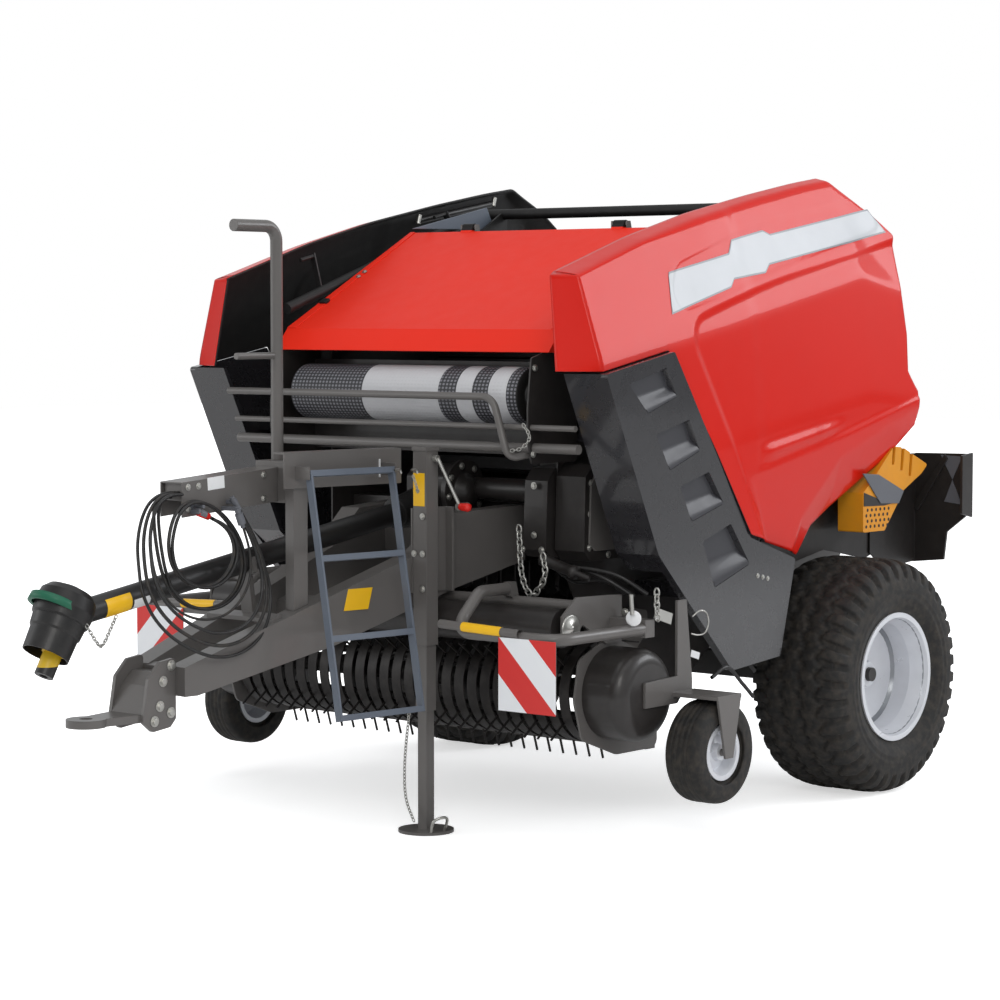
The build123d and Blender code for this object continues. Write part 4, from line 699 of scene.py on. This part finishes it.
for side, word in sides:
    blockTread("mainTyre" + word, "tyre_" + word.lower(), side, "wheel_" + word.lower())
    ribTyre("gaugeTyre" + word, "gauge_tyre_" + word.lower(), side, "gauge_" + word.lower())
print("tyres done")


def slab(name, outline, thickness, body, mat):
    # flat plate: an outline of points and the same points moved by the thickness, with sides between them
    a = np.asarray(outline, float)
    n = len(a)
    points = np.concatenate([a, a + thickness])
    normal = sum(np.cross(a[i] - a[0], a[(i + 1) % n] - a[0]) for i in range(1, n - 1))
    order = list(range(n)) if np.dot(normal, thickness) < 0 else list(range(n))[::-1]
    faces = [order, [i + n for i in order[::-1]]]
    faces += [[b, a0, a0 + n, b + n] for a0, b in zip(order, order[1:] + order[:1])]
    mesh = bpy.data.meshes.new(name)
    mesh.from_pydata([tuple(p) for p in points], [], faces)
    mesh.update()
    mesh.materials.append(mat)
    piece = added(name, mesh)
    edge = piece.modifiers.new("edge", "BEVEL")
    edge.width = 0.0015
    edge.segments = 2
    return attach(piece, body)


def upright(x, outline):
    # points of an outline given as Y about the axle and Z, at one X
    return [place(x, y, z) for y, z in outline]


def crosswise(y, outline):
    # points of an outline given as X and Z, at one Y about the axle
    return [place(x, y, z) for x, z in outline]


def tubes(name, runs, radius, body, mat):
    # several round bars in one piece, each along a smooth path of points about the axle
    parts = [rod(smoothPath([place(*p) for p in run]), radius, 14) for run in runs]
    return build(name, *joined(parts), body, mat)


# Blank labels and small plates: piece, material, then the centre about the axle, the way along, the way up,
# half its length and height, and its body.
labels = [
    ("jackLabel", "label", (0.326, -2.0302, 1.376), (1, 0, 0), (0, 0, 1), (0.03, 0.066), "chassis"),
    ("platformLabel", "white", (0.222, -2.1805, 1.466), (1, -0.147, 0), (0, 0, 1), (0.04, 0.036), "chassis"),
    ("beamLabel", "label", (0.252, -2.309, 0.955), (0.147, 1, 0), (0, 0.309, 1), (0.062, 0.044), "chassis"),
    ("armLabel", "white", (0.0604, -2.898, 1.432), (0, 1, 0.07), (0, -0.07, 1), (0.045, 0.024), "chassis"),
    ("forkPlate", "zinc", (1.1545, -1.515, 0.885), (0, 1, -0.3), (0, 0.3, 1), (0.06, 0.022), "pickup"),
    ("forkLabel", "white", (1.1545, -1.3, 0.712), (0, 1, -0.3), (0, 0.3, 1), (0.03, 0.014), "pickup"),
]
for name, mat, centre, along, up, half, body in labels:
    along = np.array(along, float) / np.linalg.norm(along) * half[0]
    up = np.array(up, float) / np.linalg.norm(up) * half[1]
    patch(name, place(*centre) - along - up, 2 * along, 2 * up, body, mats[mat])


def wrapLabel(name, start, direction, radius, length, middle, spread, body, mat):
    # label bent round a tube: P = start + d*a + r*(u*cos t + w*sin t), t from middle - spread to
    # middle + spread
    d, u, w = frameOf(direction)
    a = np.linspace(0, length, 6)[:, None, None]
    t = np.linspace(middle - spread, middle + spread, 16)[None, :, None]
    points = place(*start) + a * d + (radius + 0.0008) * (np.cos(t) * u + np.sin(t) * w)
    return build(name, points.reshape(-1, 3), gridFaces(6, 16)[:, ::-1], body, mats[mat])


# Shaft guard: how steeply it rises, the height of one place on it, and its radius.
shaft = {"slope": 0.157, "front": -3.19, "height": 1.037, "radius": 0.0462}
for name, mat, y, length, middle, spread in (("shaftLabel", "label", -3.445, 0.125, 20, 1.0),
                                             ("shaftNote", "white", -3.312, 0.085, 35, 0.55)):
    z = shaft["height"] + shaft["slope"] * (y - shaft["front"])
    wrapLabel(name, (0, y, z), (0, 1, shaft["slope"]), shaft["radius"], length, math.radians(middle), spread,
              "chassis", mat)

# Bolts: piece, body, the way they face, head radius, places.
boltRows = [
    ("hitchBolts", "chassis", (1, 0, 0), 0.014,
     upright(0.0965, [(-3.217, 0.706), (-3.234, 0.614), (-3.175, 0.762), (-3.262, 0.56), (-3.178, 0.585)])),
    ("armBolts", "chassis", (1, 0, 0), 0.009,
     upright(0.0604, [(-3.045, 1.422), (-2.99, 1.424), (-3.045, 1.34), (-2.64, 1.452), (-2.64, 1.36)])),
    ("columnDots", "chassis", (1, 0, 0), 0.007,
     upright(1.1402, [(-0.842, 0.996), (-0.806, 0.988), (-0.77, 0.98)])),
    ("flangeBolts", "chassis", (1, 0, 0), 0.01,
     upright(0.1345, [(-1.52 + 0.106 * math.cos(a), 1.34 + 0.106 * math.sin(a))
                      for a in np.arange(8) * math.pi / 4 + 0.2])),
    ("driveBolts", "chassis", (1, 0, 0), 0.01,
     upright(0.7765, [(-1.505, 1.135), (-1.5, 1.27), (-1.495, 1.395), (-1.44, 1.452), (-1.35, 1.466),
                      (-1.265, 1.472), (-1.225, 1.38), (-1.225, 1.24), (-1.25, 1.115), (-1.38, 1.1)])),
    ("coupleBolts", "chassis", (0, -1, 0), 0.01,
     crosswise(-1.5925, [(0.56, 1.38), (0.56, 1.18), (0.5, 1.12), (0.6, 1.12)])),
    ("jackBolts", "chassis", (0, -1, 0), 0.009,
     crosswise(-2.0345, [(0.3475, 1.27), (0.3475, 1.12), (0.3475, 0.98), (0.303, 1.12)])),
    ("boxBolts", "chassis", (1, 0, 0), 0.01,
     upright(0.7085, [(-1.77, 1.86), (-1.78, 1.52), (-1.56, 1.91)])),
    ("forkBolt", "pickup", (0, -1, 0), 0.012, crosswise(-1.5605, [(1.0, 0.892)])),
]
for name, body, way, radius, spots in boltRows:
    bolts(name, spots, way, radius, body)

# Chains: piece, body, pitch, wire radius, points about the axle.
chainRows = [
    ("liftChain", "chassis", 0.026, 0.0042,
     [(0.586, -1.72, 1.225), (0.601, -1.72, 1.033), (0.652, -1.72, 0.951), (0.719, -1.72, 1.027),
      (0.709, -1.72, 1.122)]),
    ("forkChain", "pickup", 0.024, 0.004,
     [(1.2, -1.62, 1.000), (1.202, -1.622, 0.94), (1.204, -1.618, 0.874)]),
    ("guardChain", "chassis", 0.014, 0.0022,
     [(0.1, -3.6, 0.95), (0.104, -3.56, 0.89), (0.09, -3.515, 0.865), (0.066, -3.45, 0.92),
      (0.05, -3.4, 0.975)]),
    ("pinChain", "jack_leg", 0.014, 0.002,
     [(0.282, -2.042, 0.48), (0.262, -2.046, 0.286), (0.268, -2.048, 0.14), (0.318, -2.052, 0.04)]),
    ("ladderChain", "chassis", 0.012, 0.0018,
     [(0.4, -2.15, 1.44), (0.41, -2.14, 1.395), (0.398, -2.12, 1.372), (0.384, -2.105, 1.4)]),
    ("barChain", "chassis", 0.016, 0.0022,
     [(0.7, -1.835, 1.64), (0.735, -1.835, 1.59), (0.7, -1.842, 1.545), (0.64, -1.846, 1.532)]),
]
for name, body, pitch, wire, run in chainRows:
    chain(name, [place(*p) for p in run], pitch, wire, body)

# Round bars, pins and pipes: piece, body, material, radius, runs of points about the axle.
barRows = [
    ("pipes", "chassis", "black", 0.009,
     [[(0.64, -1.56, 1.06), (0.69, -1.6, 1.078), (0.76, -1.6, 1.062), (0.86, -1.58, 1.056),
       (0.96, -1.54, 1.03), (1.05, -1.48, 0.96)],
      [(0.64, -1.54, 1.04), (0.72, -1.59, 1.03), (0.8, -1.58, 1.048), (0.9, -1.56, 1.02),
       (1.000, -1.5, 0.95)],
      [(0.65, -1.52, 1.02), (0.76, -1.56, 1.000), (0.88, -1.54, 1.01), (0.96, -1.5, 0.96)]]),
    ("guardTubeSpans", "pickup", "frame", 0.018,
     [[(side * 0.56, -2.172, 0.868), (side * 0.96, -2.172, 0.854)] for side in (-1, 1)]),
    ("footLoop", "jack_leg", "zinc", 0.006,
     [[(0.412, -2.06, 0.012), (0.436, -2.07, 0.06), (0.458, -2.04, 0.075), (0.446, -2.000, 0.06),
       (0.42, -1.985, 0.012)]]),
    ("ladderPins", "ladder", "zinc", 0.0045,
     [[(0.352, -2.205, 1.462), (0.352, -2.175, 1.462), (0.352, -2.165, 1.448)],
      [(0.402, -2.165, 1.462), (0.402, -2.135, 1.462), (0.402, -2.125, 1.448)]]),
    ("ringPin", "pickup", "zinc", 0.0032,
     [[(1.162, -1.33, 0.868), (1.176, -1.3, 0.89), (1.18, -1.262, 0.88), (1.18, -1.245, 0.84),
       (1.176, -1.262, 0.8), (1.168, -1.3, 0.792), (1.16, -1.335, 0.8)]]),
    ("forkPin", "pickup", "zinc", 0.0085, [[(1.15, -1.72, 0.985), (1.152, -1.715, 0.905)]]),
    ("tyreHose", "pickup", "black", 0.008,
     [[(1.15, -1.18, 0.607), (1.156, -1.08, 0.64), (1.15, -0.96, 0.56), (1.146, -0.88, 0.5)]]),
]
for side, word in sides:
    body = "side_cover_" + word.lower()
    x = side * 0.885
    barRows += [
        ("gasStrut" + word, body, "black", 0.016, [[(side * 0.89, -0.64, 2.5), (x, -0.14, 2.588)]]),
        ("strutRods" + word, body, "zinc", 0.012,
         [[(x, y, z), (x, y + 0.012, z + 0.04)] for y, z in ((-0.655, 2.485), (-0.118, 2.58))])]
    wrapLabel("guardLabel" + word, (side * 0.677, -2.172, 0.8639), (side * 0.4, 0, -0.014), 0.0182, 0.196,
              0, math.pi, "pickup", "label")

# Spare loops beside the hoses: the hose each follows, its size against that hose, its shift in millimetres.
for name, node, scale, shift in (("spareLoopWide", "hose_thick", 1.07, (-22, 6, 0)),
                                 ("spareLoopNarrow", "hose_thick", 0.9, (26, -8, -4)),
                                 ("spareLoopTwin", "hose_twin", 0.97, (14, 10, -10))):
    route = np.array(hoseRoutes[node][3], float)
    loop = (route[0] + (route - route[0]) * scale + shift) / 1000
    barRows.append((name, "chassis", "black", 0.0065, [loop.tolist()]))
for name, body, mat, radius, runs in barRows:
    tubes(name, runs, radius, body, mats[mat])

# Scoops in the column pockets: the column's face, the depth of a pocket, how far down it the floor starts
# to rise and how much later at its rear, where it ends, and the outlines in side view from the top down.
scoop = {"face": 1.14, "deep": 0.0225, "rise": 0.42, "later": 0.18, "end": 0.97, "inset": 0.025,
         "outlines": [[(-1.725, 1.803), (-1.478, 1.862), (-1.408, 1.747), (-1.599, 1.685)],
                      [(-1.547, 1.601), (-1.326, 1.654), (-1.252, 1.527), (-1.454, 1.456)],
                      [(-1.387, 1.389), (-1.19, 1.44), (-1.086, 1.306), (-1.306, 1.245)],
                      [(-1.231, 1.161), (-1.036, 1.222), (-0.9, 1.049), (-1.147, 0.969)]]}


def pocketScoops(name, side):
    # sheet over each pocket: corners blended in the side view, depth falling off as a smooth step downwards
    u, v = np.meshgrid(np.linspace(0, 1, 14), np.linspace(0, 1, 26), indexing="ij")
    start = scoop["rise"] + scoop["later"] * u
    depth = scoop["deep"] * (1 - soft(v - start, scoop["end"] - start))
    x = side * (scoop["face"] - depth + 0.0004)
    faces = gridFaces(*u.shape)[:, ::-side]
    parts = []
    for corners in scoop["outlines"]:
        a, b, c, d = np.array(corners)
        flat = ((1 - u) * (1 - v))[..., None] * a + (u * (1 - v))[..., None] * b
        flat = flat + (u * v)[..., None] * c + ((1 - u) * v)[..., None] * d
        flat = flat + scoop["inset"] * (flat.mean((0, 1)) - flat)
        points = np.stack([x, flat[..., 0] + axleY, flat[..., 1]], -1)
        parts.append((points.reshape(-1, 3), faces))
    return build(name, *joined(parts), "chassis", mats["scoop"])


for side, word in sides:
    pocketScoops("pocketScoops" + word, side)

# Turned parts: piece, body, material, start about the axle, direction, profile of distance and radius.
reflector = [(0, 0), (0, 0.03), (0.004, 0.031), (0.007, 0.027), (0.008, 0)]
rimSteps = [(0.189, 0.2605), (0.18, 0.249), (0.134, 0.247), (0.122, 0.232), (0.05, 0.229), (0.034, 0.204),
            (0.012, 0.2), (0.008, 0.168), (0.018, 0.158), (0.018, 0.132), (0.012, 0.128), (0.012, 0.25)]
collarZ = shaft["height"] + shaft["slope"] * (-3.664 - shaft["front"]) + 0.055
turnedRows = [
    ("crankKnob", "chassis", "redKnob", (0.427, -1.902, 1.306), (1, 0.1, -0.05),
     [(0, 0), (0, 0.01), (0.006, 0.015), (0.04, 0.017), (0.052, 0.014), (0.056, 0)]),
    ("redSleeve", "chassis", "redKnob", (0.105, -2.982, 1.3095), (-0.15, -0.86, 0.32),
     [(0, 0.0078), (0, 0.0135), (0.05, 0.0135), (0.05, 0.0078)]),
    ("shaftCollar", "chassis", "green", (0, -3.664, collarZ), (0, -1, -1.75),
     [(-0.02, 0.084), (-0.02, 0.096), (0.01, 0.1), (0.01, 0.084)]),
    ("liftCylinder", "chassis", "dark", (0.64, -1.64, 1.09), (0.95, 0.05, -0.27),
     [(0, 0), (0, 0.026), (0.012, 0.028), (0.02, 0.023), (0.15, 0.023), (0.152, 0.028), (0.176, 0.028),
      (0.178, 0.012), (0.24, 0.012), (0.24, 0)]),
    ("rollerNuts", "pickup", "zinc", (0.968, -1.868, 0.85), (1, 0, 0),
     [(0, 0.056), (0.004, 0.056), (0.0055, 0.05), (0.006, 0.014), (0.012, 0.012), (0.012, 0)]),
    ("roundReflector", "pickup", "white", (1.148, -1.7, 0.89), (0.45, -0.89, 0), reflector),
    ("orangeReflector", "pickup", "orange", (1.05, -1.372, 0.528), (0, -1, 0), reflector),
    ("netEnds", "net_roll", "black", (0.6155, -1.665, 1.747), (1, 0, 0),
     [(0, 0.112), (0.003, 0.11), (0.004, 0.075), (0.002, 0.06), (0.01, 0.056), (0.03, 0.055), (0.03, 0.046),
      (0.0, 0.046)]),
    ("rimStepsLeft", "wheel_left", "rimGrey", (1.09, 0, 0.508), (1, 0, 0), rimSteps),
    ("rimStepsRight", "wheel_right", "rimGrey", (-1.09, 0, 0.508), (-1, 0, 0), rimSteps),
    ("gearHub", "chassis", "dark", (0.134, -1.52, 1.34), (1, 0, 0),
     [(0, 0.075), (0.01, 0.072), (0.012, 0.058), (0.04, 0.054), (0.04, 0)]),
]
for name, body, mat, start, direction, profile in turnedRows:
    build(name, *turned(profile, place(*start), direction, 40), body, mats[mat])

# Flat plates on the chassis: piece, material, thickness, outline.
plateRows = [
    ("chockStrap", "grey", (0.006, 0, 0),
     upright(1.1312, [(-0.043, 1.384), (0.085, 1.374), (0.291, 1.294), (0.25, 1.24), (0.103, 1.247)])),
    # painted shade: a dark sheet in the gap below the chock strap
    ("chockGapShade", "dark", (0.002, 0, 0),
     upright(1.1304, [(-0.026, 1.3), (0.11, 1.262), (0.23, 1.262), (0.25, 1.246), (0.14, 1.236),
                      (-0.026, 1.24)])),
    ("lampTriangleTop", "grey", (0, -0.002, 0),
     crosswise(0.6778, [(1.089, 1.437), (1.203, 1.431), (1.152, 1.326)])),
    ("lampTriangleLow", "grey", (0, -0.002, 0),
     crosswise(0.6778, [(1.152, 1.326), (1.203, 1.215), (1.11, 1.225)])),
    ("lampGusset", "dark", (0, -0.01, 0),
     crosswise(0.6778, [(0.943, 1.195), (0.975, 1.18), (1.13, 1.42), (1.115, 1.442)])),
    ("wallPlate", "blueGrey", (-0.004, 0, 0),
     upright(-0.66, [(-0.952, 2.451), (-0.375, 2.46), (-0.431, 2.56)])),
    ("boxFront", "frame", (0.01, 0, 0),
     upright(0.7768, [(-1.515, 1.15), (-1.505, 1.385), (-1.47, 1.435), (-1.285, 1.45), (-1.25, 1.39),
                      (-1.25, 1.15), (-1.29, 1.12), (-1.48, 1.12)])),
]
for name, mat, thickness, outline in plateRows:
    slab(name, outline, np.array(thickness), "chassis", mats[mat])

# Hood's top face in side view: its lip, its hinge edge and the way it faces.
hood = {"lip": (-1.66, 2.012), "hinge": (-0.858, 2.437), "way": (-0.468, 0.884)}


def onHood(x, share, lift=0.0):
    # point of the hood's top face: share 0 at its lip, 1 at its hinge edge, lifted square to the face
    lip, hinge, way = (np.array(hood[key]) for key in ("lip", "hinge", "way"))
    return place(x, *(lip + share * (hinge - lip) + lift * way))


# Sheets on the hood at each side: piece, material, thickness, outline as X and share.
hoodRows = [
    ("hoodFold", "hood", 0.004, [(0.75, 0), (0.75, 1), (0.722, 1), (0.7, 0)]),
    ("hoodLatch", "black", 0.012, [(0.74, 0.24), (0.74, 0.28), (0.706, 0.28), (0.7, 0.26), (0.706, 0.24)]),
]
for side, word in sides:
    for name, mat, thick, outline in hoodRows:
        points = [onHood(side * x, share) for x, share in outline]
        slab(name + word, points, onHood(0, 0, thick) - onHood(0, 0), "hood", mats[mat])
    bolts("hoodBolts" + word, [onHood(side * 0.715, share, 0.004) for share in (0.52, 0.57)],
          (0, *hood["way"]), 0.008, "hood")

# Holes in the chock strap: dark low cones of painted shade, six columns by four rows, each other row moved
# on.
chockHoles = upright(1.1306, [(-0.004 + 0.034 * i + 0.01 * (j % 2), 1.15 + 0.024 * j)
                              for i in range(6) for j in range(4)])
cone = [(0, 0.0075), (0.0002, 0.000075)]
build("chockHoles", *joined([turned(cone, spot, (1, 0, 0), 12) for spot in chockHoles]), "chassis",
      mats["inside"])
print("details done")

# Floor: white all round as the camera sees it, greyer near the machine: its half size, the distance that ends
# the ramp, and the ramp's places and greys.
ground = {"half": 40, "reach": 8.0, "greys": [(0.22, 0.56), (0.5, 1.0)]}
floorMesh = bpy.data.meshes.new("floor")
h = ground["half"]
floorMesh.from_pydata([(-h, -h, 0), (h, -h, 0), (h, h, 0), (-h, h, 0)], [], [(0, 1, 2, 3)])
floor = added("floor", floorMesh)
f = Shader("floorWhite")
squares = [f.math("POWER", f.math("ABSOLUTE", axis), 2.0) for axis in f.axes()[:2]]
away = f.math("DIVIDE", f.math("SQRT", f.math("ADD", *squares)), ground["reach"])
glow = f.ramp(away, [(position, (grey, grey, grey, 1)) for position, grey in ground["greys"]])
seenOnly = f.add("ShaderNodeLightPath").outputs["Is Camera Ray"]
floorMesh.materials.append(f.set(Base_Color=(0.95, 0.95, 0.95, 1), Roughness=1.0, Emission_Color=glow,
                                 Specular_IOR_Level=0.0, Emission_Strength=seenOnly))

# Sky: brightness by height, dim below and at the horizon, brightest a little above it, softer overhead; the
# camera sees plain white instead.
skyStops = [(0.0, 0.16), (0.52, 0.16), (0.6, 0.85), (0.72, 0.7), (1.0, 0.36)]
skyStrength = 1.08
world = bpy.data.worlds.new("sky")
bpy.context.scene.world = world
world.use_nodes = True
tree = world.node_tree
tree.nodes.clear()
kinds = {"out": "OutputWorld", "mixer": "MixShader", "lit": "Background", "seen": "Background",
         "path": "LightPath", "way": "TexCoord", "split": "SeparateXYZ", "ramp": "ValToRGB", "half": "Math"}
sky = {key: tree.nodes.new("ShaderNode" + kind) for key, kind in kinds.items()}
sky["half"].operation = "MULTIPLY_ADD"
fillRamp(sky["ramp"].color_ramp, [(position, (0.96 * v, 0.98 * v, v, 1)) for position, v in skyStops])
for key, socket, value in (
        ("split", 0, sky["way"].outputs["Generated"]), ("half", 0, sky["split"].outputs["Z"]),
        ("half", 1, 0.5), ("half", 2, 0.5), ("ramp", "Fac", sky["half"].outputs[0]),
        ("lit", "Color", sky["ramp"].outputs["Color"]), ("lit", "Strength", skyStrength),
        ("seen", "Color", (1, 1, 1, 1)), ("seen", "Strength", 1.0),
        ("mixer", 0, sky["path"].outputs["Is Camera Ray"]), ("mixer", 1, sky["lit"].outputs[0]),
        ("mixer", 2, sky["seen"].outputs[0]), ("out", "Surface", sky["mixer"].outputs[0])):
    feed(tree, sky[key].inputs[socket], value)


def areaLight(name, spot, target, size, power, colour=(1, 1, 1)):
    # rectangular lamp turned to its target
    data = bpy.data.lights.new(name, "AREA")
    data.shape = "RECTANGLE"
    data.size, data.size_y = size
    data.energy = power
    data.color = colour
    lamp = added(name, data)
    lamp.location = spot
    lamp.rotation_euler = (Vector(target) - Vector(spot)).to_track_quat("-Z", "Y").to_euler()


areaLight("topLight", (1.5, -1.0, 9.0), (0, 0, 0.8), (9, 9), 215)
areaLight("keyLight", (7.0, -7.5, 6.5), (0.5, 0, 1.2), (4, 4), 240, (1, 0.98, 0.95))
areaLight("fillLight", (-7.5, -7.0, 3.0), (-0.3, -0.8, 1.0), (5, 4), 130)
areaLight("skyPanel", (7.6, 8.6, 6.4), (1.0, 0.2, 2.0), (7, 4), 440, (0.94, 0.96, 1))

camera = added("camera", bpy.data.cameras.new("camera"))
camera.data.sensor_width = 36
camera.data.lens = 104.63
camera.location = (7.945, -9.191, 2.08)
camera.rotation_euler = (math.radians(86.305), 0, math.radians(39.689))
bpy.context.scene.camera = camera
bpy.context.scene.view_settings.view_transform = "Standard"
print("stage done")
